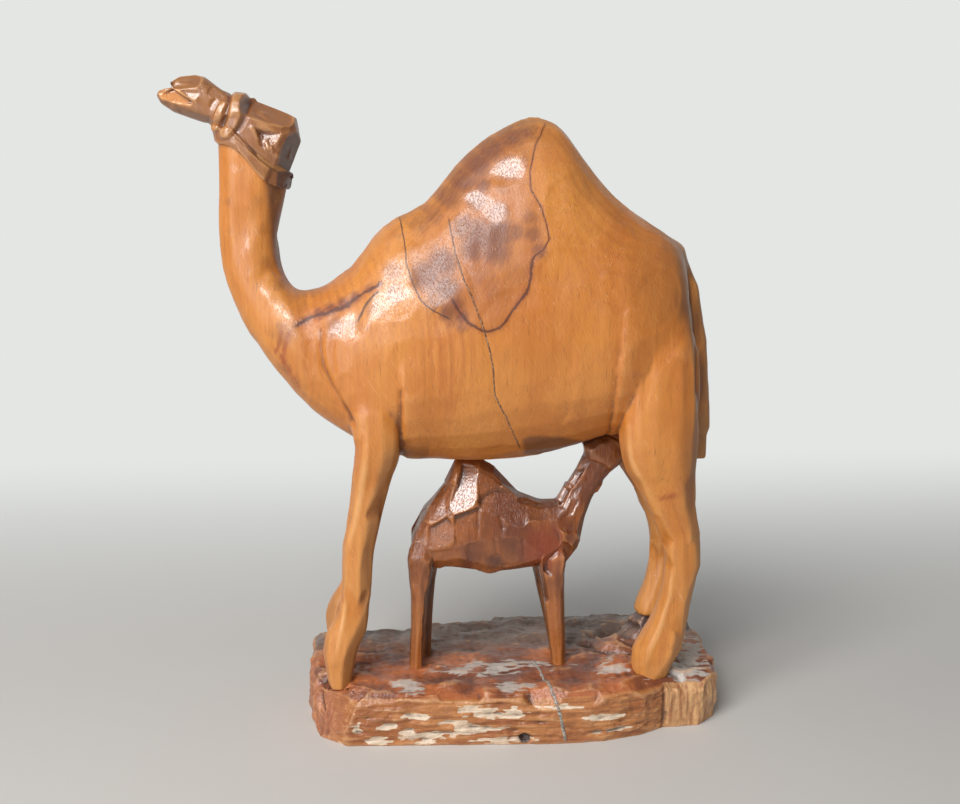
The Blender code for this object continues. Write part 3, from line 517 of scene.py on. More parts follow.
def catching(outline):
    """The facing over an outline on the near side that throws the window's light to the viewer."""
    middle = np.mean(outline, axis=0) * MM
    place = np.array((middle[0], FLANK_DEPTH, middle[1]))
    ways = [(end - place) / np.linalg.norm(end - place) for end in (VIEWER, WINDOW)]
    return (ways[0] + ways[1]) / np.linalg.norm(ways[0] + ways[1])


spots, outward = skin_of(cow)
uncut = spots.copy()
near_side = outward[:, 1] < 0
cut_over, shine = np.zeros(len(spots)), np.full(len(spots), PLAIN_SHINE)
for lean, soft, gloss, outline in BRIGHT_CUTS:
    inside = edge_reach(side_view(spots), outline)
    plane_cut(spots, outward, outline, BRIGHT_DEPTH, catching(outline), lean, soft * MM, BRIGHT_FILL)
    cut_over = np.maximum(cut_over, eased(inside, -3 * MM, 0))
    shine = np.maximum(shine, gloss * eased(inside, -1.6 * MM, 0.8 * MM) * near_side)
spots = worn_round(capped(uncut, spots, BRIGHT_MOST), cow_ends, 5, cut_over * near_side)
move_points(cow.data, spots)
deepest = np.linalg.norm(points_of(cow.data) - uncut, axis=1).max()
print("deepest bright cut, mm:", round(float(deepest / MM), 2))

# %% Painted highlight and thicker varnish along the ridges of the legs
EDGE_HIGHLIGHT_FADE = 9 * MM
EDGE_SHINE = 0.55

# Lighter colour along these ridges is a painted highlight; the same mask also thickens the varnish
painted_edge_highlight = np.zeros(len(spots))
for width, route in LEG_RIDGES:
    ends = [np.linalg.norm(side_view(spots) - np.array(end) * MM, axis=1) for end in (route[0], route[-1])]
    near_line = 1 - eased(route_reach(side_view(spots), route)[0], 0.1 * MM, 0.8 * width * MM)
    painted_edge_highlight = np.maximum(painted_edge_highlight, near_line * eased(np.minimum(*ends), 0, EDGE_HIGHLIGHT_FADE))
mark(cow.data, "painted_edge_highlight", painted_edge_highlight * eased(np.abs(outward[:, 1]), 0.3, 0.7))
mark(cow.data, "shine", np.maximum(shine, EDGE_SHINE * painted_edge_highlight))
print("points on rubbed edges:", int((painted_edge_highlight > 0.5).sum()))

# %% [markdown]
# ## Figure of the cow's flank
# A dark heart of the tree comes to the surface on the shoulder and the hump, edged by a crooked dark line,
# and a filled crack runs down the flank. They are drawn as routes and an outline in side view. Each point
# keeps its distance to them, so the material can draw crisp edges at any size. Soft pools, each with a
# centre, a size and a strength, say where the wood is darkest.

# %% Heart of the tree and its dark pools
HEART_OUTLINE = [(-15.5, 191), (-5.6, 199), (1, 203), (7.4, 203), (5.5, 197), (3.1, 188), (3.5, 182.6),
                 (6.2, 177), (8.2, 171), (8.4, 167), (4.2, 162), (2.5, 156), (1, 150), (-3, 146),
                 (-7.3, 140), (-11, 138.7), (-16.7, 141), (-22.3, 143), (-30.7, 147.6), (-34.7, 153),
                 (-36.8, 164), (-30.2, 173.3), (-23.7, 181.3)]
HUMP_POOLS = [((-47, 161.5), 5, 0.3), ((-44, 165.5), 5, 0.35), ((-39.5, 169), 5, 0.4),
              ((-32, 172.5), 7, 0.6), ((-28, 175.5), 7, 0.7), ((-23, 181), 8, 0.85),
              ((-18.5, 186.5), 9, 0.95), ((-14, 191.5), 9, 1.0), ((-9, 196.5), 9, 1.0),
              ((-3, 200.5), 9, 0.95), ((2, 203), 8, 0.8), ((-12, 184), 5, 0.8), ((-15, 186), 6, 0.8),
              ((-5.5, 183), 5, 0.45), ((-4, 190), 8, 0.7), ((0.5, 191.5), 5, 0.5)]
HEART_POOLS = [((-14, 179.5), 7, 0.75), ((-7.5, 175.5), 7, 0.75), ((-18, 171), 8, 0.85),
               ((-13, 168), 10, 0.95), ((-7.5, 169), 9, 0.95), ((-2, 169.5), 5, 0.8), ((2.5, 174), 5, 0.6),
               ((3.3, 169), 5, 0.7), ((5.3, 163.6), 4.5, 0.8), ((-15.5, 164.5), 8, 0.85),
               ((-8.7, 164), 9, 0.85), ((-13, 157), 9, 0.45), ((-8, 152), 9, 0.42), ((-2.5, 157), 9, 0.4),
               ((-15.5, 151), 6, 0.35)]
WEDGE_POOLS = [((-30, 156), 9, 0.95), ((-25, 160), 9, 0.95), ((-24, 152), 8, 0.95), ((-26.5, 149), 8, 0.75),
               ((-21.5, 147), 6, 0.8), ((-24, 144.5), 5, 0.9), ((-19.2, 143.5), 4, 0.9),
               ((-22.5, 142), 4, 0.6), ((-19.3, 140.3), 3.5, 0.7)]
SHOULDER_POOLS = [((-69, 141.5), 2.5, 0.8), ((-64.6, 143.6), 3.2, 0.9), ((-60.7, 145), 3.6, 0.95),
                  ((-56.7, 147), 3.6, 0.95), ((-52.8, 149), 3.4, 0.85), ((-48.3, 151.8), 3, 0.6),
                  ((-59, 140), 6, 0.6), ((-53.5, 140.5), 5, 0.55), ((-46, 146), 6, 0.55),
                  ((-40, 150.5), 6.5, 0.65), ((-40.5, 157), 6.5, 0.65)]
NECK_POOLS = [((-93, 179), 3.5, 0.45), ((-93, 170), 3.5, 0.35), ((-83.4, 179), 4, 0.4),
              ((-83, 171), 4, 0.35), ((-80, 160), 5, 0.5), ((-77.6, 152.5), 3.5, 0.5),
              ((-77.3, 140), 3, 0.5), ((-80.6, 137.4), 3.5, 0.45), ((-76.1, 126.2), 4, 0.6),
              ((-73, 121.5), 4, 0.5)]
POOLS = HUMP_POOLS + HEART_POOLS + WEDGE_POOLS + SHOULDER_POOLS + NECK_POOLS
print("dark pools:", len(POOLS))

# %% Dark lines and cracks
# Weight of each dark line, and its route
FIGURE_LINES = [
    (0.4, [(8.3, 202.4), (5.2, 196.6), (3.1, 188), (3.2, 182.6), (6.2, 177.3), (7.9, 171.4), (8.4, 167.4),
           (7.1, 164.6), (3.6, 162.1)]),
    (0.85, [(3.6, 162.1), (2.6, 159.4), (2.2, 154.7), (0.9, 150.4), (-2.9, 145.8), (-5.1, 143), (-7.3, 139.9),
            (-11.1, 138.7), (-14.2, 139.6), (-17.3, 141.5), (-18.9, 143.7), (-21, 147)]),
    (1.1, [(-70.6, 140.8), (-65.9, 142.9), (-60.7, 144.6), (-55.8, 146.2), (-51.9, 149.1), (-46, 152.8)]),
]
FLANK_CRACK = [(-22.4, 171.4), (-20.8, 162.4), (-18.4, 154.7), (-16, 149.5), (-13.3, 142.1), (-11.1, 135.2),
               (-9.5, 127.6), (-8.8, 118.2), (-5.3, 111.6), (-2, 104.2), (-0.4, 100.6)]
SIDE_CRACK = [(-38, 172), (-36.7, 165.1), (-36.2, 159.2), (-34.4, 153.4), (-32.2, 148.8), (-29.1, 145.8),
              (-24.8, 143.6)]
SLASH = [(-50.9, 143.6), (-49.2, 147), (-46.8, 149.6)]


def lengthened(route, more=6):
    """The same route, drawn on at both ends by some millimetres."""
    route = np.array(route, float)
    first, last = route[0] - route[1], route[-1] - route[-2]
    return np.vstack([route[0] + more * first / np.linalg.norm(first), route,
                      route[-1] + more * last / np.linalg.norm(last)])


# %% Marking the figure
FAR_SHIFT = np.array((9, -6)) * MM
FAR_STRENGTH = 0.8


def mark_routes(mesh, name, flat, near, routes):
    """Keeps the offset across the nearest route, in millimetres, and 1 close to it that fades further off."""
    best = np.full(len(flat), np.inf)
    offset = np.zeros(len(flat))
    for weight, route in routes:
        far, _ = route_reach(flat, route)
        across, side = route_reach(flat, lengthened(route))
        nearer = far < best
        best[nearer] = far[nearer]
        offset[nearer] = (across * side / weight)[nearer]
    mark(mesh, name + "_offset", offset / MM)
    mark(mesh, name + "_near", near * (1 - eased(best, 1.4 * MM, 3.2 * MM)))


def mark_figure(mesh):
    spots = points_of(mesh)
    near = spots[:, 1] < 1 * MM
    flat = side_view(spots) + FAR_SHIFT * ~near[:, None]
    mark(mesh, "heart", edge_reach(flat, HEART_OUTLINE) / MM - 2 * ~near)
    pools = np.zeros(len(spots))
    for centre, size, strength in POOLS:
        gone = np.linalg.norm(flat - np.array(centre) * MM, axis=1)
        pools = np.maximum(pools, strength * (1 - eased(gone, 0.2 * size * MM, size * MM)))
    mark(mesh, "pool", np.where(near, pools, FAR_STRENGTH * pools))
    mark_routes(mesh, "figure", flat, near, FIGURE_LINES)
    mark_routes(mesh, "crack", flat, near, [(1, FLANK_CRACK), (1, SIDE_CRACK), (1.6, SLASH)])


mark_figure(cow.data)
print("figure marked on", len(cow.data.vertices), "points")

# %% [markdown]
# ## Painted shade and stained places
# Painted shade darkens the back of the neck, the wood under the strap, the backs of the legs, the tail, the
# belly's underside, the rear-facing sides of the hind quarters, the upward faces of the back and the hump,
# and the rear face and underside of the head. A real stain darkens the head all over. Soft balls and edge
# lines say where, in millimetres, and how strongly. Painting by hand would do as well, but would not follow a
# change of the carving.

# %% Balls and edge lines of the painted shade and stain
# Centre, size and strength of each ball
COW_SHADE_AND_STAINS = [((48, -20, 152), 20, 0.3), ((24, -12, 188), 15, 0.12), ((6, -8, 202), 12, 0.2),
              ((-75, -14, 137), 6, 0.4), ((66, 0, 140), 12, 0.6), ((66, -1, 120), 14, 0.6),
              ((66, -1, 100), 12, 0.6), ((-38, -22, 100), 5, 0.5), ((7, -15, 98), 6, 0.8),
              ((18, -10, 97), 8, 0.8), ((29, -6, 97.5), 7, 0.8), ((-65, 10, 33), 11, 0.5)]
NECK_EDGE = [(152, -76.5), (157.2, -78), (161.6, -79.3), (167.8, -80.2), (176.9, -80.3), (182.3, -80.7),
             (195, -81.5)]
STRAP_EDGE = [(-96, 200), (-91, 196.5), (-86.7, 193), (-82.6, 189.5), (-78, 185.5)]
FORE_EDGE = [(18.5, -56.4), (34.9, -54.3), (43.5, -52.9), (51.9, -52.4), (62, -51.5), (72.1, -50.6),
             (78.8, -49.9), (86.8, -47.8), (98.6, -44.2)]
HIND_EDGE = [(32.7, 57.5), (42, 58), (52.3, 59.4), (65.4, 60), (74.1, 58.8), (83.6, 55.6), (97.7, 52.2),
             (109.7, 52.5)]
BELLY_DARK = [(0.8, 102.5), (2.6, 95), (10, 94), (24, 94), (33, 96.5), (22.8, 100), (13.5, 103), (3.3, 103.8)]
BEHIND_SHADE, TOP_SHADE = 0.64, 0.4


# %% Painted shade and stain from balls, from facing and from edge lines
def mark_stain_and_shade(mesh, balls, all_over):
    """Balls with a positive depth darken the far side only, the others both sides. Faces turned to the rear
    and faces turned up get painted shade.
    """
    spots, outward = points_of(mesh), outward_of(mesh)
    hind = np.maximum(eased(spots[:, 0], 40 * MM, 48 * MM), 1 - eased(spots[:, 2], 86 * MM, 94 * MM))
    behind = eased(outward[:, 0], 0.2, 0.7) * hind
    # Painted shade on rear-facing and upward faces
    tops = eased(outward[:, 2], 0.75, 0.97) * eased(spots[:, 2], 120 * MM, 130 * MM)
    total = np.maximum.reduce([BEHIND_SHADE * behind, TOP_SHADE * tops, all_over + 0 * tops])
    for (reach, depth, level), size, strength in balls:
        ball = [((reach, -abs(depth), level), size)]
        there = spots[:, 1] > 0 if depth > 0 else 1
        total = np.maximum(total, strength * there * near_spots(spots, ball, 0.3))
    mark(mesh, "stain_and_shade", total)


def past(spots, edge, fade=1.6):
    """1 behind an edge line that is given as heights and reaches, fading to 0 in front of it."""
    heights, reach = np.array(edge, float).T
    return eased(spots[:, 0] - np.interp(spots[:, 2], heights, reach), 0.3 * fade - fade, 0.7 * fade)


def painted_shade_along_lines(mesh):
    """Painted shade along the back of the neck and of the legs, under the strap, and on the belly's rear
    plane.
    """
    spots, outward = points_of(mesh) / MM, outward_of(mesh)
    on_neck = spots[:, 0] < -70
    back = past(spots, NECK_EDGE) * eased(spots[:, 2], 150, 162) * on_neck
    reach, level = np.array(STRAP_EDGE, float).T
    above = spots[:, 2] - np.interp(spots[:, 0], reach, level)
    strapped = eased(above, -1.2, 0.6) * eased(spots[:, 2], 182, 184) * on_neck
    fore = past(spots, FORE_EDGE) * (1 - eased(spots[:, 2], 96, 105)) * (np.abs(spots[:, 0] + 50) < 20)
    hind = past(spots, HIND_EDGE, 3.0) * (1 - eased(spots[:, 2], 104, 118)) * (spots[:, 0] > 35)
    belly = eased(edge_reach(side_view(spots), np.array(BELLY_DARK) / MM), -0.8, 0.8) * (outward[:, 2] < 0.3)
    return np.maximum.reduce([0.95 * back, 0.95 * strapped, 0.52 * fore, 0.42 * hind, 0.85 * belly])


# On the cow this darkening is all painted shade
shade_and_stain = painted_shade_along_lines(cow.data)
mark_stain_and_shade(cow.data, COW_SHADE_AND_STAINS, shade_and_stain)
print("share of the cow with stain worked in:", round(float((shade_and_stain > 0.3).mean()), 2))

# %% Rust-red streaks on the neck, and a knot above the hock
# Width, strength and route of each streak
RUST = [(1.5, 1.0, [(-73.8, 138.1), (-75.8, 132.6), (-76.6, 127.6)]),
        (1.2, 1.0, [(-76.4, 138), (-77.8, 133.5), (-79, 131.2)]),
        (2.4, 0.75, [(46.6, 82.6), (49.5, 83.3), (51.2, 83.9)]),
        (3.5, 0.5, [(-76.6, 130), (-75, 125), (-72, 120)])]


def mark_rust(mesh):
    spots = points_of(mesh)
    total = np.zeros(len(spots))
    for width, strength, route in RUST:
        gone, _ = route_reach(side_view(spots), route)
        total = np.maximum(total, strength * (1 - eased(gone, 0, width * MM)))
    mark(mesh, "rust", total * (spots[:, 1] < 0))


mark_rust(cow.data)
print("rust streaks:", len(RUST))

# %% [markdown]
# ## The cow's head and halter
# The head is small and its edges are crisp: an open mouth, a doubled band round the muzzle, and a strap from
# the band round the back of the head. It gets a finer blank of its own, whose lower border hides under the
# strap. The grooves are scored over the solids, as the carver did on the block.

# %% Blank of the head, with the strap set steeper on the cheeks
HEAD_NODES = ["cow_head", "halter_noseband", "halter_throat_strap"]
HEAD_GRAIN = 0.36 * MM
STRAP_TILT, STRAP_MIDDLE, STRAP_HALF = 2.0 * MM, -85 * MM, 11 * MM
LIP_NOTCH = [(-116.3, 212.4), (-115.2, 214.4), (-113, 215.9), (-111.3, 217.1), (-108.7, 218.9),
             (-107.7, 219.2), (-108.5, 218.1), (-109.7, 216.9), (-110, 216), (-109.5, 215.2),
             (-108.3, 214.5), (-111.5, 214), (-114.6, 213.3)]
STRAP_END = [(-72.3, 188.9), (-73.1, 187.4), (-73.3, 185.8), (-74.5, 183.2), (-75.2, 182.1), (-75.2, 177),
             (-60, 177), (-60, 188.9)]
STRAP_REAR = ((-76.5, -6, 184.5), 7)
BEVEL_START, BEVEL_HALF, BEVEL_SLOPE = -78.2 * MM, 9.0 * MM, 1.3

head = carving_blank("carved_head", ["cow_head", "halter_throat_strap"], HEAD_NODES, HEAD_GRAIN,
                     [LIP_NOTCH, STRAP_END])
head_ends = edges_of(head.data)
spots = rubbed(points_of(head.data), head_ends, 3)
cheeks = eased(np.abs(spots[:, 1]), 2 * MM, 6 * MM)
low_head = 1 - eased(spots[:, 2], 201 * MM, 207 * MM)
across = np.clip((spots[:, 0] - STRAP_MIDDLE) / STRAP_HALF, -1, 1)
spots[:, 2] -= STRAP_TILT * np.sin(across * math.pi) * cheeks * low_head
spots = worn_round(spots, head_ends, 30, near_spots(spots, [STRAP_REAR], 0.4))
beyond = spots[:, 0] - BEVEL_START
half = np.where(beyond > 0, np.maximum(BEVEL_HALF - BEVEL_SLOPE * beyond, MM), np.inf)
bevelled = np.clip(spots[:, 1], -half, half)
spots[:, 1] += (bevelled - spots[:, 1]) * (1 - eased(spots[:, 2], 190 * MM, 193 * MM))
move_points(head.data, spots)

# %% Planes of the head, and the ridges of the halter
HEAD_PLANES = [((-80, -5.5, 206.5), (0.3, -0.55, 0.8), 9, 0.6),
               ((-75.7, -8.5, 195.8), (0.81, -0.476, -0.34), 15, 0.4),
               ((-106, -4, 216), (-0.1, -0.6, 0.78), 6, 0.35)]
BAND_FRONT = [(-93.2, 208.8), (-94.2, 206.9), (-94.9, 205), (-95.5, 203.5), (-96, 202)]
BAND_REAR = [(-89.8, 216), (-88.4, 211.9), (-89.1, 208.1), (-89.2, 205.8), (-90.5, 203.1), (-92.6, 200.3)]
BAND_GROOVE = [(-91.8, 212.5), (-91.4, 210), (-92.1, 207.3), (-92.3, 205.4), (-93.2, 203.1), (-93.9, 200.8)]
BEHIND_BAND = [(-85.6, 214), (-85.6, 210), (-85.9, 207.4), (-86.2, 205.1), (-87.4, 202.8), (-89, 201.2)]
STRAP_GROOVE = [(-91.2, 200.8), (-89, 198.9), (-86.7, 196.8), (-82.6, 193.1), (-78, 189.6)]
CHEEK_CREASE = [(-83.7, 207.4), (-81.1, 204.7), (-78.5, 202.5), (-75, 201.3), (-72.2, 201.9)]
MOUTH = [(-113.9, 212.5), (-107.1, 213.8), (-103, 209.3), (-103.7, 208.4), (-112.9, 210.5)]
TONGUE_HALF = 5.2 * MM
REAR_FACE = [(-71.1, 201.4), (-74.3, 199), (-76, 195.2), (-77.3, 190.1), (-77.9, 184.3), (-78.7, 179),
             (-60, 179), (-60, 201.4)]
SECOND_RIDGE = [(-84.4, 201.6), (-81, 197.8), (-77, 193.2)]
CHEEK_NICKS = [[(-81.1, 198.6), (-80.8, 195.8)], [(-79.1, 198.3), (-78.8, 194.9)],
               [(-77.9, 197), (-77.6, 194.3)]]
CHEEK_CUT = [(-83.1, 201.5), (-74, 200.2), (-77.4, 194.6), (-82, 195.9)]
LIP_CUT = [(-106.7, 213.7), (-100.7, 212.9), (-101.6, 209.2)]

spots, outward = skin_of(head)
uncut = spots.copy()
proud = bulging(spots, outward, head_ends, 30)
knife_planes(spots, outward, 60, 3.6 * MM, 0.24 * MM, seed=21, where=proud)
spots = capped(uncut, spots, 0.45 * MM)
for plane in HEAD_PLANES:
    for side in (1, -1):
        shave_side(spots, outward, plane, side, agree=0.7)
plane_cut(spots, outward, CHEEK_CUT, 0.35 * MM, catching(CHEEK_CUT), 0.9)
plane_cut(spots, outward, LIP_CUT, 0.2 * MM, catching(LIP_CUT), 0.9)
fleshy = eased(edge_reach(side_view(spots), MOUTH), -0.2 * MM, 0.3 * MM) * (np.abs(outward[:, 1]) > 0.3)
swollen = np.maximum(np.abs(spots[:, 1]), TONGUE_HALF) * np.sign(spots[:, 1])
spots[:, 1] += fleshy * (swollen - spots[:, 1])
ridge_up(spots, outward, BAND_FRONT, 1.6 * MM, 0.9 * MM, cheeks, flat=0.5)
ridge_up(spots, outward, BAND_REAR, 2.5 * MM, 0.85 * MM, flat=0.5)
score(spots, outward, CHEEK_CREASE, 0.8 * MM, 0.3 * MM, cheeks)
ridge_up(spots, outward, SECOND_RIDGE, 1.1 * MM, 0.4 * MM, cheeks)
score(spots, outward, BAND_GROOVE, 0.6 * MM, 0.5 * MM)
score(spots, outward, BEHIND_BAND, 0.7 * MM, 0.45 * MM)
score(spots, outward, STRAP_GROOVE, 0.6 * MM, 0.6 * MM, cheeks)
for nick in CHEEK_NICKS:
    score(spots, outward, nick, 0.4 * MM, 0.3 * MM, cheeks)
move_points(head.data, rubbed(spots, head_ends, 1))
print("head carved, planes set by hand:", len(HEAD_PLANES))

# %% Marks on the head
HEAD_STAINS_AND_SHADE = [((-70, -3, 196), 9, 0.95), ((-100, -2, 217), 11, 0.75), ((-84, -3, 211), 9, 0.7),
               ((-92, -2, 214), 8, 0.7), ((-76, -4, 205), 8, 0.6)]
HEAD_STAIN, HEAD_SHINE = 0.65, 0.9

mark_hollows(head.data, 25, 0.4 * MM)
mark_figure(head.data)
# Painted shade under the head and on its rear face; HEAD_STAIN is a real stain all over the head
under = 0.8 * eased(-outward_of(head.data)[:, 2], 0.25, 0.7)
rear_face = 1.15 * eased(edge_reach(side_view(spots), REAR_FACE), -0.3 * MM, 0.5 * MM)
shade_and_stain = np.maximum.reduce([under, rear_face, np.full(len(spots), HEAD_STAIN)])
mark_stain_and_shade(head.data, HEAD_STAINS_AND_SHADE, shade_and_stain * (1 - fleshy))
mark(head.data, "shine", np.full(len(spots), HEAD_SHINE))
mark(head.data, "painted_edge_highlight", np.zeros(len(spots)))
print("mean stain worked into the head:", round(float(shade_and_stain.mean()), 2))

# %% [markdown]
# ## The calf
# The calf was left rough: flat knife planes meet in crisp edges, and a broad plane on its hump catches the
# window light. The same knife is used as on the cow, but deeper and with planes given one by one where the
# real ones can be seen.

# %% Blank of the calf, and the stance of its legs
CALF_NODES = ["calf_torso", "calf_neck", "calf_head", "calf_foreleg_near", "calf_foreleg_far",
              "calf_hindleg_near", "calf_hindleg_far"]
CALF_GRAIN = 0.42 * MM
CALF_LEGS = 50 * MM
LEG_LEAN = 2.0 * MM
HIND_PARED = 1.0 * MM
CALF_STOCK = 0.25 * MM

calf = carving_blank("carved_calf", CALF_NODES, CALF_NODES, CALF_GRAIN)
calf_ends = edges_of(calf.data)
spots = rubbed(points_of(calf.data), calf_ends, 6)
sink_feet(spots, FOOT_SINK, PLINTH_TOP)
move_points(calf.data, spots)
spots, outward = skin_of(calf)
calf_legs = spots[:, 2] < CALF_LEGS
low_leg = 1 - eased(spots[:, 2], 20 * MM, 55 * MM)
spots[:, 0] += LEG_LEAN * low_leg * (spots[:, 0] > 5 * MM) * (spots[:, 1] > 1 * MM)
thin = eased(outward[:, 0], 0.3, 0.7) * (1 - eased(spots[:, 2], 44 * MM, CALF_LEGS))
spots[:, 0] -= HIND_PARED * thin * (spots[:, 0] < -15 * MM) * (spots[:, 1] < -1 * MM)
spots += CALF_STOCK * outward
print("points on the calf's legs:", int(calf_legs.sum()))

# %% Knife planes of the calf, scattered and given one by one
CALF_PLANES = [
    ((-5, -9.5, 74), (0.15, -0.85, 0.5), 10, 0.6),
    ((-8, -10.5, 62), (0.0, -0.97, -0.2), 10, 0.5),
    ((8, -10, 64), (0.2, -0.95, 0.1), 9, 0.5),
    ((-22, -9.5, 56), (-0.15, -0.9, -0.4), 8, 0.5),
    ((14, -8, 58), (0.4, -0.85, -0.3), 7, 0.5),
]
CALF_BREAKS = [17, 25, 33, 42, 52]
# Share of the lean, depth, and the outline in side view
CALF_CUTS = [
    (0.5, 0.4, [(-29.9, 70.1), (-23.7, 73.6), (-19.6, 68.9), (-22, 62.5), (-29.6, 61.2)]),
    (0.3, 0.4, [(-21.3, 74.3), (-12.4, 77), (-13.1, 65.3), (-21, 62.6)]),
]
NECK_STROKES = [
    (0.9, 0.3, [(14.2, 78), (16, 76), (19.4, 81), (17.6, 81.6)]),
    (0.9, 0.3, [(16.8, 75), (18, 73.2), (22.3, 81.4), (20.4, 81.4)]),
    (0.9, 0.3, [(18.8, 72.6), (20.8, 72), (22.6, 77.6), (21.3, 77.4)]),
    (0.9, 0.3, [(19, 83), (21.4, 82.6), (24.6, 88.6), (22.4, 87.4)]),
]
HUMP_FACET = [(-18.2, 90.6), (-13.1, 90), (-12.2, 76.6), (-21.3, 73.6), (-23, 76.2)]
CALF_GROOVES = [[(-7.3, 66.1), (-6.6, 59.6)], [(2.4, 65.1), (2.8, 59.4)], [(-5.6, 73.1), (-4.5, 69.6)],
                [(-12.6, 76), (-13.4, 66)], [(16.4, 75.4), (19.9, 82)], [(18.4, 72.8), (22.6, 82.2)]]

uncut = spots.copy()
proud = bulging(spots, outward, calf_ends, 40)
knife_planes(spots, outward, 46, 9 * MM, 0.75 * MM, seed=31, where=~calf_legs & proud, agree=0.6)
for side in (1, -1):
    for end in (1, -1):
        limb = np.flatnonzero(calf_legs & (spots[:, 0] * end > 0) & (spots[:, 1] * side > 0))
        whittle(spots, limb, CALF_BREAKS, 0.35 * MM, 0.7 * MM, seed=35 + 2 * side + end, ways=6)
spots = capped(uncut, spots, 0.8 * MM)
for plane in CALF_PLANES:
    for side in (1, -1):
        shave_side(spots, outward, plane, side, agree=0.6)
plane_cut(spots, outward, HUMP_FACET, 0.35 * MM, catching(HUMP_FACET), 1.0, fill=1.2 * MM)
for lean, depth, outline in CALF_CUTS + NECK_STROKES:
    plane_cut(spots, outward, outline, depth * MM, catching(outline), lean)
for groove in CALF_GROOVES:
    score(spots, outward, groove, 0.55 * MM, 0.35 * MM)
move_points(calf.data, rubbed(spots, calf_ends, 1))
print("calf carved, planes set by hand:", len(CALF_PLANES) + len(CALF_CUTS) + len(NECK_STROKES) + 1)

# %% Gloss, and painted shade of the calf
mark_hollows(calf.data, 25, 0.5 * MM)
glossy = [HUMP_FACET] + [outline for _, _, outline in NECK_STROKES]
gloss = [eased(edge_reach(side_view(spots), outline), -0.8 * MM, 0.2 * MM) for outline in glossy]
mark(calf.data, "shine", np.maximum.reduce(gloss) * (spots[:, 1] < 0))
spots, outward = skin_of(calf)
# Painted shade on the far legs, on faces turned to the rear, on the front and back faces of the legs, and on
# upward faces from the middle forward
on_legs = 1 - eased(spots[:, 2], 46 * MM, 56 * MM)
far_leg_shade = eased(spots[:, 1], 0, 2 * MM) * on_legs
turned = eased(outward[:, 0], 0.4, 0.85)
sides = eased(np.abs(outward[:, 0]), 0.3, 0.7) * on_legs
upward = eased(outward[:, 2], 0.45, 0.8) * eased(spots[:, 0], -12 * MM, -6 * MM)
stain_and_shade = np.maximum.reduce([0.85 * far_leg_shade, 0.55 * turned, 0.6 * sides, 0.5 * upward])
mark(calf.data, "stain_and_shade", stain_and_shade)
print("stained share of the calf:", round(float((stain_and_shade > 0.3).mean()), 2))

# %% [markdown]
# ## The plinth
# The plinth is the rough foot of the block: saw marks and chipped strips along the front, a hacked left end,
# a small square block at the right, and a gouged top with lips of wood round the hooves. The strips and the
# smears are marked on the points, so that the same mark both shapes the wood and colours it.

# %% Blank of the plinth, and which way its faces look
PLINTH_GRAIN = 0.62 * MM

plinth = carving_blank("carved_plinth", ["plinth", "plinth_crack_fill"], ["plinth"],
                       PLINTH_GRAIN)
plinth_ends = edges_of(plinth.data)
move_points(plinth.data, rubbed(points_of(plinth.data), plinth_ends, 5))
spots, outward = skin_of(plinth)
upward = eased(outward[:, 2], 0.3, 0.8)
sides = 1 - np.clip(np.abs(outward[:, 2]), 0, 1)
front = eased(-outward[:, 1], 0.5, 0.85)
foot = eased(spots[:, 2], 0.3 * MM, 2 * MM)
print("points on the plinth:", len(spots))

# %% Chips, smears and a knot hole
CHIPS = [((-10, 12.3), (8, 2.3)), ((-31.5, 3.4), (9, 2.2)), ((-50.5, 1.6), (6.5, 1.6)),
         ((-45.4, 7.2), (4, 1.3)), ((-54.7, 7.3), (1.6, 1.8)), ((-14, 6), (8, 1.5)),
         ((-7, 1.2), (8.5, 1.6)), ((27, 9), (7, 1.1)), ((12, 13.5), (9, 0.8)), ((-24, 8.5), (5, 0.8)),
         ((34, 4), (6, 0.8)), ((-36, 11), (5, 0.7))]
SMEARS = [((-8, -9), (17, 5)), ((-2, -25), (7, 3)), ((59, -15), (10, 9)), ((-38, -22), (6, 4)),
          ((33, -14), (5, 4)), ((62, 4), (9, 12)), ((63, -8), (8, 8))]
KNOT = (1.2, 2.2)


def patches(flat, spreads, seed):
    """Ragged oval patches, given as centres and half sizes in mm, 1 in the middle and 0 outside."""
    sheet = np.column_stack([flat, 0 * flat[:, 0]])
    drawn = (3, 0.6, 1)
    ragged = 0.3 * rolling(sheet, 4 * MM, seed, drawn) + 0.2 * rolling(sheet, 1.7 * MM, seed + 9, drawn)
    total = np.zeros(len(flat))
    for centre, size in spreads:
        gone = np.linalg.norm((flat - np.array(centre) * MM) / (np.array(size) * MM), axis=1)
        total = np.maximum(total, 1 - eased(gone + ragged, 0.55, 1.15))
    return total


chipped = patches(side_view(spots), CHIPS, seed=41) * front
smeared = patches(spots[:, :2], SMEARS, seed=42) * upward
knot_hole = 1 - eased(np.linalg.norm(side_view(spots) - np.array(KNOT) * MM, axis=1), 1.2 * MM, 2.6 * MM)
print("plinth marked, chipped share of the front", round(float(chipped[front > 0.5].mean()), 2))

# %% Cutting the plinth
LEFT_END = ((-66, -19, 10), (-0.72, -0.62, 0.3), 17, 1.2)
BLOCK_EDGE = [(50.5, 0), (50.5, 17)]
# Centre, half size and height of each mound
MOUNDS = [((-58, -18), (11, 10), 0.8), ((-57, -24.5), (10, 4.5), 1.6), ((-58, 18), (12, 12), 0.9),
          ((48, -18), (12, 11), 0.9), ((36, -10), (10, 8), 2.2)]

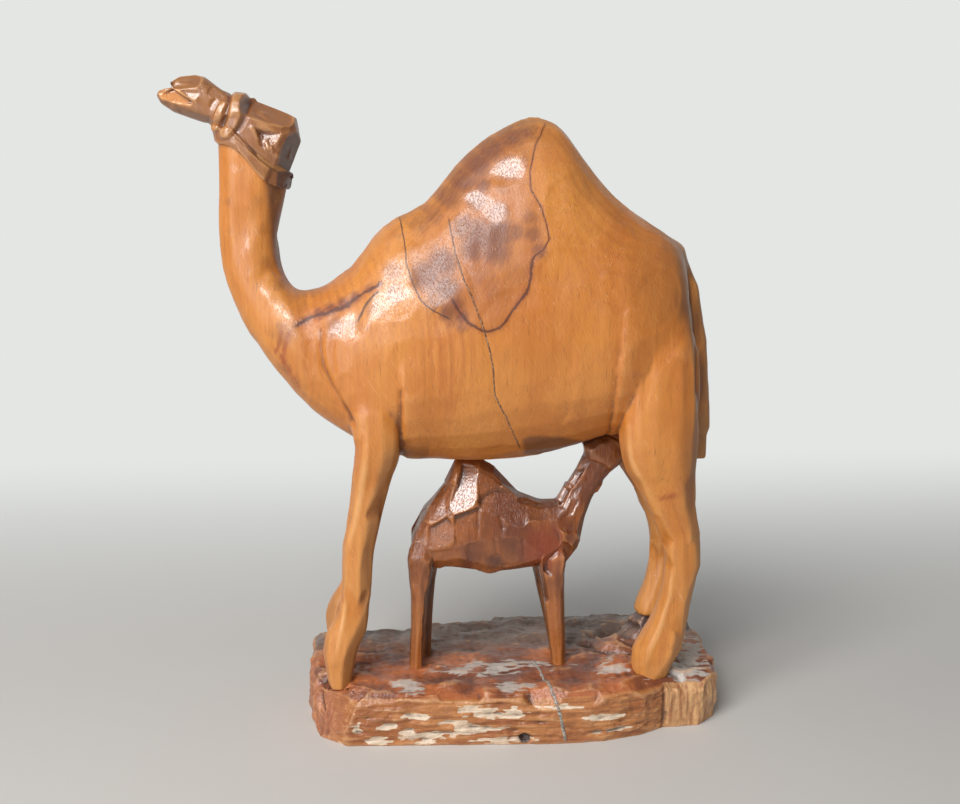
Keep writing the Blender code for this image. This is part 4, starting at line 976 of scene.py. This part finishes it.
saw_marks = rolling(spots, 2.6 * MM, seed=43, stretch=(9, 1, 0.55))
hacked = rolling(spots, 7 * MM, seed=44)
gouges = rolling(spots, 9 * MM, seed=45, stretch=(1.6, 0.9, 1))
fine = rolling(spots, 2.2 * MM, seed=46)
right_block = eased(spots[:, 0], 49 * MM, 52 * MM)
upright_cuts = rolling(spots, 1.8 * MM, seed=48, stretch=(0.6, 0.6, 9))
lift = -0.4 * MM * chipped - 1.8 * MM * knot_hole * front
lift += front * (0.25 * MM * saw_marks * (1 - right_block) + 0.18 * MM * upright_cuts * right_block)
lift += (0.45 * MM * hacked + 0.16 * MM * fine) * sides * (1 - 0.6 * front)
lift += upward * (0.4 * MM * gouges + 0.12 * MM * fine - 0.35 * MM + 0.3 * MM * smeared)
for centre, size, height in MOUNDS:
    gone = np.linalg.norm((spots[:, :2] - np.array(centre) * MM) / (np.array(size) * MM), axis=1)
    lift += upward * height * MM * (1 - eased(gone, 0.5, 1.0))
spots += (lift * foot)[:, None] * outward
score(spots, outward, BLOCK_EDGE, 0.9 * MM, 0.9 * MM, front)
shave_side(spots, outward, LEFT_END, 1, agree=0.6)
rim = (spots[:, 2] > PLINTH_TOP - 2.5 * MM) & (outward[:, 2] < 0.9) & (outward[:, 2] > 0.2)
rough_ends = (sides > 0.6) & (front < 0.5) & (foot > 0.9)
knife_planes(spots, outward, 70, 6 * MM, 0.7 * MM, seed=49, stretch=(1.8, 1, 1), where=rim, agree=0.6)
knife_planes(spots, outward, 60, 7 * MM, 0.5 * MM, seed=47, where=rough_ends)
spots[:, 2] = np.maximum(spots[:, 2], 0)
move_points(plinth.data, rubbed(spots, plinth_ends, 1))
mark(plinth.data, "chip", chipped)
mark(plinth.data, "smear", smeared)
mark(plinth.data, "knot", knot_hole * front)
on_stump = eased(spots[:, 2], PLINTH_TOP + 1.5 * MM, PLINTH_TOP + 3 * MM)
mark(plinth.data, "upward", np.maximum(upward, on_stump))
mark_hollows(plinth.data, 20, 0.6 * MM)
print("plinth cut by up to", round(-lift.min() / MM, 1), "mm, and raised by", round(lift.max() / MM, 1), "mm")

# %% [markdown]
# ## Putty in the cracks
# Two drying cracks were filled: one down the flank and one from the plinth's top over its front edge. Each is
# a thin lumpy strip laid along a route on the carved skin. The route is dropped on the skin by casting rays,
# so the strip sits in the wood wherever the carving moved it.

# %% Routes dropped on the skin
RAY_FRONT = -60 * MM


def evenly(route, spacing):
    """Points along a route, about one spacing apart."""
    route = np.array(route, float) * MM
    lengths = np.r_[0, np.cumsum(np.linalg.norm(np.diff(route, axis=0), axis=1))]
    stops = np.linspace(0, lengths[-1], int(lengths[-1] / spacing) + 1)
    return np.column_stack([np.interp(stops, lengths, route[:, axis]) for axis in range(route.shape[1])])


def dropped(piece, places, way):
    """Where rays along way from each place meet the piece, with the outward direction there."""
    tree = BVHTree.FromObject(piece, bpy.context.evaluated_depsgraph_get())
    met = [tree.ray_cast(Vector(place), Vector(way)) for place in places]
    return np.array([hit[0] for hit in met]), np.array([hit[1] for hit in met])


def dropped_from_front(piece, way):
    """The same for places in side view, with rays that come from the near side."""
    places = np.column_stack([way[:, 0], np.full(len(way), RAY_FRONT), way[:, 1]])
    return dropped(piece, places, (0, 1, 0))


# %% A lumpy strip of putty
def putty_strip(name, replaced, ground, outward, width, height, seed):
    """A lumpy strip along points on the skin, narrow at both ends."""
    draw = np.random.default_rng(seed)
    along = np.gradient(ground, axis=0)
    across = np.cross(along, outward)
    across /= np.linalg.norm(across, axis=1)[:, None]
    profile = [(-1, -0.5), (-0.95, 0.1), (-0.4, 0.8), (0.35, 0.9), (0.95, 0.1), (1, -0.5)]
    corners, faces = [], []
    for stop in range(len(ground)):
        broad = width * draw.uniform(0.55, 1.3) * (0.25 if stop in (0, len(ground) - 1) else 1)
        for sideways, up in profile:
            lump = height * (up + draw.uniform(-0.35, 0.35))
            corners.append(ground[stop] + across[stop] * sideways * broad + outward[stop] * lump)
    ring = len(profile)
    for stop in range(len(ground) - 1):
        for corner in range(ring):
            after = (corner + 1) % ring
            faces.append([stop * ring + corner, stop * ring + after,
                          stop * ring + ring + after, stop * ring + ring + corner])
    faces.append(list(range(ring))[::-1])
    faces.append([len(corners) - ring + corner for corner in range(ring)])
    strip = bpy.data.objects.new(name, bpy.data.meshes.new(name))
    strip.data.from_pydata([tuple(corner) for corner in corners], [], faces)
    shape = bmesh.new()
    shape.from_mesh(strip.data)
    bmesh.ops.recalc_face_normals(shape, faces=shape.faces[:])
    shape.to_mesh(strip.data)
    shape.free()
    strip.data.shade_smooth()
    bpy.context.scene.collection.objects.link(strip)
    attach(strip, "root")
    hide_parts(replaced)
    print(name, "has", len(faces), "faces")
    return strip


# %% Putty of the flank and of the plinth
PLINTH_CRACK_TOP = [(6.5, -3), (7.6, -8), (8.6, -14), (9.7, -23), (10.6, -28.5)]
PLINTH_CRACK_FRONT = [(11, 17), (12, 14), (12.8, 11), (14, 6), (14.9, 1.2)]
RAY_TOP = 37 * MM

flank_ground, flank_outward = dropped_from_front(cow, evenly(FLANK_CRACK[1:], 0.45 * MM))
flank_putty = putty_strip("flank_putty", "flank_crack_fill", flank_ground, flank_outward,
                          width=0.24 * MM, height=0.06 * MM, seed=51)
top_way = evenly(PLINTH_CRACK_TOP, 0.6 * MM)
over_top = np.column_stack([top_way, np.full(len(top_way), RAY_TOP)])
top_ground, top_outward = dropped(plinth, over_top, (0, 0, -1))
front_ground, front_outward = dropped_from_front(plinth, evenly(PLINTH_CRACK_FRONT, 0.6 * MM))
plinth_putty = putty_strip("plinth_putty", "plinth_crack_fill", np.r_[top_ground, front_ground],
                           np.r_[top_outward, front_outward], width=0.6 * MM, height=0.22 * MM, seed=52)

# %% [markdown]
# ## Materials from nodes
# A finish is a small network of nodes. A few short helpers keep the networks readable: one adds a node and
# fills or links its sockets, and others make the blends and noises that wood needs. All patterns use Object
# coordinates, because those stay put on the piece and need no unwrapping.

# %% Nodes, blends and sums
def tone(red, green, blue):
    """A colour picked as 0 to 255, in the linear numbers that nodes use."""
    shares = np.array([red, green, blue]) / 255
    linear = np.where(shares <= 0.04045, shares / 12.92, ((shares + 0.055) / 1.055) ** 2.4)
    return (*linear.tolist(), 1.0)


def add(tree, kind, sockets=None, **settings):
    """A new node with its settings, and with sockets linked or set to plain values."""
    made = tree.nodes.new(kind)
    for name, value in settings.items():
        setattr(made, name, value)
    for name, value in (sockets or {}).items():
        if isinstance(value, bpy.types.NodeSocket):
            tree.links.new(value, made.inputs[name])
        else:
            made.inputs[name].default_value = value
    return made


def blend(tree, share, under, over):
    """One colour over another, by a share from 0 to 1."""
    return add(tree, "ShaderNodeMix", {0: share, 6: under, 7: over}, data_type="RGBA").outputs[2]


def ranged(tree, value, low, high, to_low=0.0, to_high=1.0):
    sockets = {"Value": value, "From Min": low, "From Max": high, "To Min": to_low, "To Max": to_high}
    return add(tree, "ShaderNodeMapRange", sockets, interpolation_type="SMOOTHSTEP").outputs[0]


def sums(tree, way, first, second):
    return add(tree, "ShaderNodeMath", {0: first, 1: second}, operation=way).outputs[0]


# %% Layers, noises and the varnish
COAT_IOR = 3.2
SPECULAR_LEVEL = 0.7


def frayed(tree, value, grain, amount=1.0):
    """A value whose borders are moved to and fro by a noise."""
    return sums(tree, "ADD", value, sums(tree, "MULTIPLY", sums(tree, "SUBTRACT", grain, 0.5), amount))


def layer(tree, colour, shade, value, low, high, most=1.0):
    """Lays a shade over a colour: none of it where the value is low, its most where the value is high."""
    return blend(tree, ranged(tree, value, low, high, 0, most), colour, tone(*shade))


def kept(tree, name):
    """A value that was marked on the points."""
    return add(tree, "ShaderNodeAttribute", attribute_name=name).outputs["Fac"]


def placed(tree, stretch, shift=(0, 0, 0), turn=(0, 0, 0)):
    source = add(tree, "ShaderNodeTexCoord").outputs["Object"]
    sockets = {"Vector": source, "Location": shift, "Rotation": turn, "Scale": stretch}
    return add(tree, "ShaderNodeMapping", sockets).outputs[0]


def whereabouts(tree):
    """The three Object coordinates, each by itself."""
    return add(tree, "ShaderNodeSeparateXYZ", {0: placed(tree, (1, 1, 1))}).outputs


def noise(tree, stretch, detail=3.0, rough=0.55, turn=(0, 0, 0)):
    """Noise drawn out along an axis, which can be turned first."""
    turned = placed(tree, (1, 1, 1), turn=turn)
    drawn = add(tree, "ShaderNodeMapping", {"Vector": turned, "Scale": stretch}).outputs[0]
    sockets = {"Vector": drawn, "Scale": 1.0, "Detail": detail, "Roughness": rough}
    return add(tree, "ShaderNodeTexNoise", sockets).outputs[0]


def new_finish(name):
    """A fresh material with its node tree and its shader."""
    made = bpy.data.materials.new(name)
    made.use_nodes = True
    return made, made.node_tree, made.node_tree.nodes["Principled BSDF"]


def varnish(tree, shader, colour, height, rough, drop, coat, coat_rough):
    """Links colour, roughness and bump to the shader, under a clear coat."""
    bump = add(tree, "ShaderNodeBump", {"Height": height, "Strength": 1.0, "Distance": drop}).outputs[0]
    tree.links.new(colour, shader.inputs["Base Color"])
    tree.links.new(rough, shader.inputs["Roughness"])
    tree.links.new(bump, shader.inputs["Normal"])
    tree.links.new(bump, shader.inputs["Coat Normal"])
    shader.inputs["Coat Weight"].default_value = coat
    shader.inputs["Coat Roughness"].default_value = coat_rough
    shader.inputs["Coat IOR"].default_value = COAT_IOR
    shader.inputs["Specular IOR Level"].default_value = SPECULAR_LEVEL


# %% [markdown]
# ## Honey wood of the cow
# The cow's wood is honey to orange, with growth rings round an upright pith, long fibres and tiny dark pores.
# Rings come from a Wave texture about a near-upright axis, so that they bend into long arcs over the hump as
# real rings do. The marked distances lay the dark heart, its edge line and the cracks over it, and the other
# marks lay on the stain with its painted shade, the rust, the darker hollows and lighter ridges, and the
# painted highlight along the leg ridges.

# %% Honey wood with its rings and fibres
PITH = (34 * MM, 14 * MM)
RING_SPACING = 2.3 * MM
WAVE_STEP = 0.3142


def rings(tree, pith, spacing, twist):
    """Dark growth rings round a pith that leans a little."""
    sockets = {"Vector": placed(tree, (1, 1, 0.22), (-pith[0], -pith[1], 0), (0.05, 0.04, 0)),
               "Scale": WAVE_STEP / spacing, "Distortion": twist, "Detail": 3.0, "Detail Scale": 0.35,
               "Detail Roughness": 0.6}
    return add(tree, "ShaderNodeTexWave", sockets, wave_type="RINGS", rings_direction="Z").outputs[1]


def bare_honey(tree, fibre, cloud):
    """Honey to orange wood with growth rings, fibres and pores."""
    blotch = noise(tree, (42, 42, 18), 3, 0.5)
    pores = noise(tree, (1700, 1700, 110), 2, 0.5)
    growth = ranged(tree, rings(tree, PITH, RING_SPACING, 9.0), 0.3, 1.0)
    shown = ranged(tree, noise(tree, (30, 30, 14), 2), 0.42, 0.68, 0.02, 0.28)
    colour = layer(tree, tone(198, 118, 40), (214, 138, 58), blotch, 0.34, 0.68)
    colour = blend(tree, sums(tree, "MULTIPLY", growth, shown), colour, tone(160, 84, 30))
    colour = layer(tree, colour, (176, 94, 34), cloud, 0.5, 0.72, 0.3)
    colour = layer(tree, colour, (178, 98, 36), fibre, 0.42, 0.78, 0.28)
    colour = layer(tree, colour, (232, 164, 86), fibre, 0.48, 0.25, 0.22)
    return layer(tree, colour, (126, 66, 28), pores, 0.62, 0.72, 0.4)


# %% Figure and wear over the honey wood
def with_figure(tree, colour, slanted):
    """The dark heart with its pools and its edge line, and the cracks."""
    heart = frayed(tree, kept(tree, "heart"), slanted, 7.0)
    pool = frayed(tree, kept(tree, "pool"), slanted, 0.77)
    colour = layer(tree, colour, (158, 86, 46), heart, -1.5, 2.5, 0.32)
    colour = layer(tree, colour, (98, 50, 38), pool, 0.12, 1.15, 0.84)
    wander = noise(tree, (300, 300, 300), 4, 0.65)
    apart = sums(tree, "ABSOLUTE", frayed(tree, kept(tree, "figure_offset"), wander, 2.4), 0)
    close = kept(tree, "figure_near")
    halo = sums(tree, "MULTIPLY", close, ranged(tree, apart, 0.5, 2.4, 0.35, 0))
    line = sums(tree, "MULTIPLY", close, ranged(tree, apart, 0.15, 0.85, 0.85, 0))
    colour = blend(tree, halo, colour, tone(150, 74, 38))
    colour = blend(tree, line, colour, tone(78, 34, 22))
    beside = sums(tree, "ABSOLUTE", frayed(tree, kept(tree, "crack_offset"), wander, 0.84), 0)
    split = sums(tree, "MULTIPLY", ranged(tree, beside, 0.1, 0.38, 0.85, 0), kept(tree, "crack_near"))
    return blend(tree, split, colour, tone(70, 38, 24))


def with_wear_and_painted_light(tree, colour, slanted, cloud):
    """Rust streaks, real staining mixed with painted shade, darker hollows and lighter ridges that are partly
    painted light, a painted highlight along the leg ridges, and scratches.
    """
    scratch = noise(tree, (2400, 2400, 55), 3, 0.6, turn=(0, 0.55, 0))
    rust = frayed(tree, kept(tree, "rust"), slanted, 1.6)
    colour = layer(tree, colour, (152, 58, 16), rust, 0.05, 1.0, 0.7)
    # Mostly painted shade on faces turned back, up and down, with some real stain
    colour = blend(tree, sums(tree, "MULTIPLY", kept(tree, "stain_and_shade"), 0.85), colour, tone(86, 52, 34))
    # Darker in hollows: varnish and stain gathered there, and painted shade
    colour = layer(tree, colour, (98, 50, 22), kept(tree, "hollow"), 0.2, 1.0, 0.72)
    # Lighter on ridges: wear, and painted highlight
    colour = layer(tree, colour, (232, 170, 100), kept(tree, "ridge"), 0.2, 1.0, 0.3)
    # Painted highlight along the ridges of the legs
    colour = layer(tree, colour, (240, 184, 116), frayed(tree, kept(tree, "painted_edge_highlight"), cloud), 0.1, 1.1, 0.38)
    return layer(tree, colour, (240, 196, 150), scratch, 0.66, 0.74, 0.5)


# %% The honey finish, with its bump and its varnish
def honey_finish():
    finish, tree, shader = new_finish("varnished_honey_wood")
    fibre = noise(tree, (1000, 1000, 34), 5, 0.62)
    cloud = noise(tree, (110, 110, 60), 4, 0.6)
    slanted = noise(tree, (900, 900, 60), 4, 0.6, turn=(0, -0.5, 0))
    pits = noise(tree, (2600, 2600, 200), 3, 0.6, turn=(0, 0.42, 0))
    colour = with_figure(tree, bare_honey(tree, fibre, cloud), slanted)
    colour = with_wear_and_painted_light(tree, colour, slanted, cloud)
    rough = ranged(tree, noise(tree, (120, 120, 60), 3), 0.3, 0.7, 0.36, 0.54)
    swells = sums(tree, "MULTIPLY", noise(tree, (150, 150, 80), 1.2), 0.45)
    height = sums(tree, "ADD", sums(tree, "MULTIPLY", slanted, 0.09), swells)
    height = sums(tree, "SUBTRACT", height, ranged(tree, pits, 0.5, 0.66, 0, 0.125))
    varnish(tree, shader, colour, height, rough, drop=0.3 * MM, coat=0.15, coat_rough=0.13)
    worn = frayed(tree, kept(tree, "shine"), slanted)
    tree.links.new(ranged(tree, worn, 0.2, 0.95, 0.035, 0.23), shader.inputs["Coat Weight"])
    return finish


honey = honey_finish()
for piece in (cow, head):
    piece.data.materials.append(honey)
print("honey wood nodes:", len(honey.node_tree.nodes))

# %% [markdown]
# ## Russet wood of the calf
# The calf sits in darker, redder wood near the heart of the tree, and its thin legs turn honey lower down.
# The network is the same idea with fewer layers. Painted shade darkens the far legs and the faces turned
# away, and the ridges between knife planes are lighter, partly rubbed and partly painted highlight.

# %% Russet wood
CALF_PITH = (-10 * MM, 40 * MM)
CALF_RINGS = 1.9 * MM
CALF_RED = (10, 62)
CALF_KNOT = (-7.5, 57)


def mark_calf(mesh):
    flat = side_view(points_of(mesh))
    for name, centre, size in (("red", CALF_RED, 14), ("knot", CALF_KNOT, 5)):
        gone = np.linalg.norm(flat - np.array(centre) * MM, axis=1)
        mark(mesh, name, 1 - eased(gone, 0.2 * size * MM, size * MM))


def russet_finish():
    finish, tree, shader = new_finish("varnished_russet_wood")
    growth = rings(tree, CALF_PITH, CALF_RINGS, 5.0)
    fibre = noise(tree, (700, 700, 45), 5, 0.62)
    blotch = noise(tree, (70, 70, 38), 3, 0.5)
    pits = noise(tree, (2400, 2400, 300), 3, 0.6)
    level = sums(tree, "ADD", whereabouts(tree)[2], sums(tree, "MULTIPLY", fibre, 0.02))
    colour = layer(tree, tone(116, 58, 25), (160, 92, 42), blotch, 0.36, 0.64)
    colour = layer(tree, colour, (92, 44, 20), growth, 0.4, 1.0, 0.22)
    colour = layer(tree, colour, (98, 48, 22), fibre, 0.42, 0.76, 0.55)
    colour = layer(tree, colour, (184, 108, 44), level, 0.068, 0.045, 0.62)
    colour = layer(tree, colour, (140, 46, 10), frayed(tree, kept(tree, "red"), fibre), 0.15, 1.2, 0.7)
    colour = layer(tree, colour, (72, 30, 14), frayed(tree, kept(tree, "knot"), fibre), 0.25, 1.1, 0.8)
    # Painted shade on the far legs, rear-facing faces, leg sides and upward faces
    colour = blend(tree, kept(tree, "stain_and_shade"), colour, tone(60, 30, 16))
    # Darker in hollows and lighter on ridges: stain and wear, and painted shade and painted highlight
    colour = layer(tree, colour, (58, 28, 16), kept(tree, "hollow"), 0.15, 1.0, 0.7)
    colour = layer(tree, colour, (210, 138, 74), kept(tree, "ridge"), 0.25, 1.0, 0.4)
    rough = ranged(tree, noise(tree, (160, 160, 90), 3), 0.3, 0.7, 0.22, 0.36)
    height = sums(tree, "ADD", sums(tree, "MULTIPLY", fibre, 0.3), noise(tree, (300, 300, 180), 3))
    height = sums(tree, "SUBTRACT", height, ranged(tree, pits, 0.48, 0.66, 0, 0.22))
    varnish(tree, shader, colour, height, rough, drop=0.2 * MM, coat=0.1, coat_rough=0.12)
    tree.links.new(ranged(tree, kept(tree, "shine"), 0.0, 1.0, 0.09, 0.28), shader.inputs["Coat Weight"])
    return finish


mark_calf(calf.data)
russet = russet_finish()
calf.data.materials.append(russet)
print("russet wood nodes:", len(russet.node_tree.nodes))

# %% [markdown]
# ## Sawn wood of the plinth
# The plinth's front is orange-tan with cream strips where the varnished skin chipped off, and its top is dark
# red-brown, turning grey to the back, with pale smears. The marks on the points choose between these finishes
# and the noise frays their borders.

# %% Wood of the plinth's front and of its top
def front_wood(tree, streaks, blotch, across):
    """Orange-tan with saw streaks, a pale block at the right, a hacked left end and cream chips."""
    upright = noise(tree, (600, 600, 40), 4, 0.62)
    colour = layer(tree, tone(162, 92, 38), (198, 130, 70), blotch, 0.36, 0.64)
    colour = layer(tree, colour, (134, 72, 34), streaks, 0.46, 0.7, 0.75)
    colour = layer(tree, colour, (228, 176, 122), streaks, 0.46, 0.3, 0.5)
    block = layer(tree, tone(226, 176, 120), (166, 106, 62), upright, 0.35, 0.7)
    colour = blend(tree, ranged(tree, across, 0.049, 0.052), colour, block)
    hewn = layer(tree, tone(150, 82, 56), (196, 128, 90), upright, 0.4, 0.65)
    left = sums(tree, "ADD", across, sums(tree, "MULTIPLY", blotch, 0.012))
    colour = blend(tree, ranged(tree, left, -0.052, -0.060, 0, 0.7), colour, hewn)
    torn = frayed(tree, kept(tree, "chip"), noise(tree, (110, 900, 1500), 5, 0.65), 1.7)
    patchy = ranged(tree, noise(tree, (50, 600, 2400), 4, 0.6), 0.3, 0.55, 0.5, 0.95)
    chip = sums(tree, "MULTIPLY", ranged(tree, torn, 0.2, 0.45), patchy)
    return blend(tree, chip, colour, tone(240, 222, 196))


def top_wood(tree, blotch, depth, level):
    """Red-brown, turning grey to the back, darker on the stump and with pale smears."""
    loose = sums(tree, "MULTIPLY", sums(tree, "SUBTRACT", noise(tree, (260, 420, 420), 5, 0.65), 0.5), 1.8)
    back = sums(tree, "ADD", depth, sums(tree, "MULTIPLY", loose, 0.016))
    smear = sums(tree, "ADD", kept(tree, "smear"), loose)
    stump = layer(tree, tone(66, 46, 44), (128, 96, 84), loose, -0.2, 0.3)
    colour = layer(tree, tone(124, 66, 38), (184, 104, 54), blotch, 0.4, 0.6)
    colour = layer(tree, colour, (116, 102, 90), back, -0.006, 0.022, 0.85)
    colour = blend(tree, ranged(tree, level, 0.0205, 0.0235, 0, 0.8), colour, stump)
    return layer(tree, colour, (192, 186, 176), smear, 0.25, 0.9, 0.85)


# %% The plinth's finish
def plinth_finish():
    finish, tree, shader = new_finish("sawn_plinth_wood")
    streaks = noise(tree, (46, 500, 560), 5, 0.65)
    blotch = noise(tree, (52, 52, 70), 4, 0.6)
    across, depth, level = whereabouts(tree)
    front, top = front_wood(tree, streaks, blotch, across), top_wood(tree, blotch, depth, level)
    colour = blend(tree, ranged(tree, kept(tree, "upward"), 0.2, 0.8), front, top)
    colour = layer(tree, colour, (52, 30, 20), kept(tree, "knot"), 0.2, 0.8)
    # Darker in hollows and lighter on ridges: stain and wear, and painted shade and painted highlight
    colour = layer(tree, colour, (70, 40, 24), kept(tree, "hollow"), 0.2, 1.0, 0.75)
    colour = layer(tree, colour, (222, 166, 112), kept(tree, "ridge"), 0.3, 1.0, 0.4)
    rough = ranged(tree, noise(tree, (150, 150, 150), 3), 0.3, 0.7, 0.34, 0.6)
    height = sums(tree, "ADD", streaks, noise(tree, (500, 500, 500), 3))
    varnish(tree, shader, colour, height, rough, drop=0.5 * MM, coat=0.09, coat_rough=0.2)
    return finish


sawn = plinth_finish()
plinth.data.materials.append(sawn)
print("plinth wood nodes:", len(sawn.node_tree.nodes))

# %% [markdown]
# ## Crack putty
# The filler is a paste with pale and dark grains, brown in the flank and grey in the plinth. A cell texture
# gives the grains, and the paste stays dull beside the varnish.

# %% Putty finish
def putty_finish(name, body, pale, dark):
    finish, tree, shader = new_finish(name)
    cells = {"Vector": placed(tree, (2600, 2600, 2600)), "Scale": 1.0}
    grains = add(tree, "ShaderNodeTexVoronoi", cells).outputs[1]
    speck = add(tree, "ShaderNodeSeparateColor", {0: grains}).outputs[0]
    colour = layer(tree, tone(*body), pale, speck, 0.55, 0.8, 0.8)
    colour = layer(tree, colour, dark, speck, 0.35, 0.15, 0.9)
    rough = ranged(tree, speck, 0, 1, 0.35, 0.7)
    varnish(tree, shader, colour, speck, rough, drop=0.1 * MM, coat=0.06, coat_rough=0.2)
    return finish


flank_paste = putty_finish("flank_putty", (120, 76, 44), (190, 148, 108), (66, 38, 24))
plinth_paste = putty_finish("plinth_putty", (150, 142, 132), (196, 190, 180), (98, 88, 78))
flank_putty.data.materials.append(flank_paste)
plinth_putty.data.materials.append(plinth_paste)
print("finishes made:", len(bpy.data.materials))

# %% [markdown]
# ## Stage, light and camera
# The carving stands on a plain pale sheet that curves up behind it. A large soft light stands high at the
# front left, where its reflection runs over the shoulder and the hump. A weak one lower down lights the legs
# and the belly, and a pale surround fills the shadows. The camera stands as high as the cow's back, a little
# to the left of the middle, and looks slightly down.

# %% Stage
SHEET_TONE = tone(208, 206, 201)
WALL_TONE = tone(228, 230, 228)
WALL_FADE = (0.0, 0.42)


def studio_sheet():
    """A floor that bends up to a wall. Towards the wall the camera sees it glow, so it stays even."""
    front, bend_start, bend, top, half, steps = -2.4, 1.1, 0.7, 2.6, 2.6, 12
    profile = [(front, 0.0), (bend_start, 0.0)]
    for stop in range(1, steps + 1):
        angle = math.pi / 2 * stop / steps
        profile.append((bend_start + bend * math.sin(angle), bend * (1 - math.cos(angle))))
    profile.append((bend_start + bend, top))
    corners = [(side * half, depth, height) for depth, height in profile for side in (-1, 1)]
    faces = [(row * 2, row * 2 + 1, row * 2 + 3, row * 2 + 2) for row in range(len(profile) - 1)]
    sheet = bpy.data.objects.new("studio_sheet", bpy.data.meshes.new("studio_sheet"))
    sheet.data.from_pydata(corners, [], faces)
    sheet.data.shade_smooth()
    bpy.context.scene.collection.objects.link(sheet)
    finish, tree, shader = new_finish("studio_sheet")
    shader.inputs["Base Color"].default_value = SHEET_TONE
    shader.inputs["Roughness"].default_value = 0.9
    path = add(tree, "ShaderNodeLightPath").outputs
    seen = sums(tree, "MAXIMUM", sums(tree, "MAXIMUM", path["Is Camera Ray"], path["Is Glossy Ray"]),
                path["Is Transmission Ray"])
    share = sums(tree, "MULTIPLY", seen, ranged(tree, whereabouts(tree)[1], *WALL_FADE))
    glow = add(tree, "ShaderNodeEmission", {"Color": WALL_TONE, "Strength": 1.0}).outputs[0]
    mixed = add(tree, "ShaderNodeMixShader", {0: share, 1: shader.outputs[0], 2: glow}).outputs[0]
    tree.links.new(mixed, tree.nodes["Material Output"].inputs["Surface"])
    sheet.data.materials.append(finish)
    return sheet


sheet = studio_sheet()
print("stage made of", len(sheet.data.polygons), "faces")

# %% Light
LOW_WINDOW = (-0.62, -0.56, 0.27)
DAYLIGHT = (1.0, 0.985, 0.985)
SKY_TONE, SKY_STRENGTH = (0.95, 0.97, 1.0, 1.0), 0.22


def soft_light(name, place, aim, size, power):
    """A rectangle of daylight turned to a place on the carving."""
    lamp = bpy.data.lights.new(name, "AREA")
    lamp.shape = "RECTANGLE"
    lamp.size, lamp.size_y = size
    lamp.energy = power
    lamp.color = DAYLIGHT
    holder = bpy.data.objects.new(name, lamp)
    holder.location = place
    holder.rotation_euler = (Vector(aim) - Vector(place)).to_track_quat("-Z", "Y").to_euler()
    bpy.context.scene.collection.objects.link(holder)


soft_light("window_light", WINDOW, aim=(-0.01, 0, 0.11), size=(0.58, 0.6), power=9.6)
soft_light("low_window_light", LOW_WINDOW, aim=(-0.01, 0, 0.12), size=(0.3, 0.5), power=1.4)
surround = bpy.data.worlds.new("pale_surround")
surround.use_nodes = True
sky = surround.node_tree.nodes["Background"].inputs
sky["Color"].default_value = SKY_TONE
sky["Strength"].default_value = SKY_STRENGTH
bpy.context.scene.world = surround
bpy.context.scene.view_settings.view_transform = "Standard"
print("lights:", len(bpy.data.lights))

# %% Camera
CAMERA_TURN = (math.radians(80), 0, math.radians(-4))

lens = bpy.data.cameras.new("camera")
lens.lens = 37.5
lens.sensor_width = 36
camera = bpy.data.objects.new("camera", lens)
camera.location = VIEWER
camera.rotation_euler = CAMERA_TURN
bpy.context.scene.collection.objects.link(camera)
bpy.context.scene.camera = camera
print("camera at, mm:", [round(float(side / MM)) for side in VIEWER])
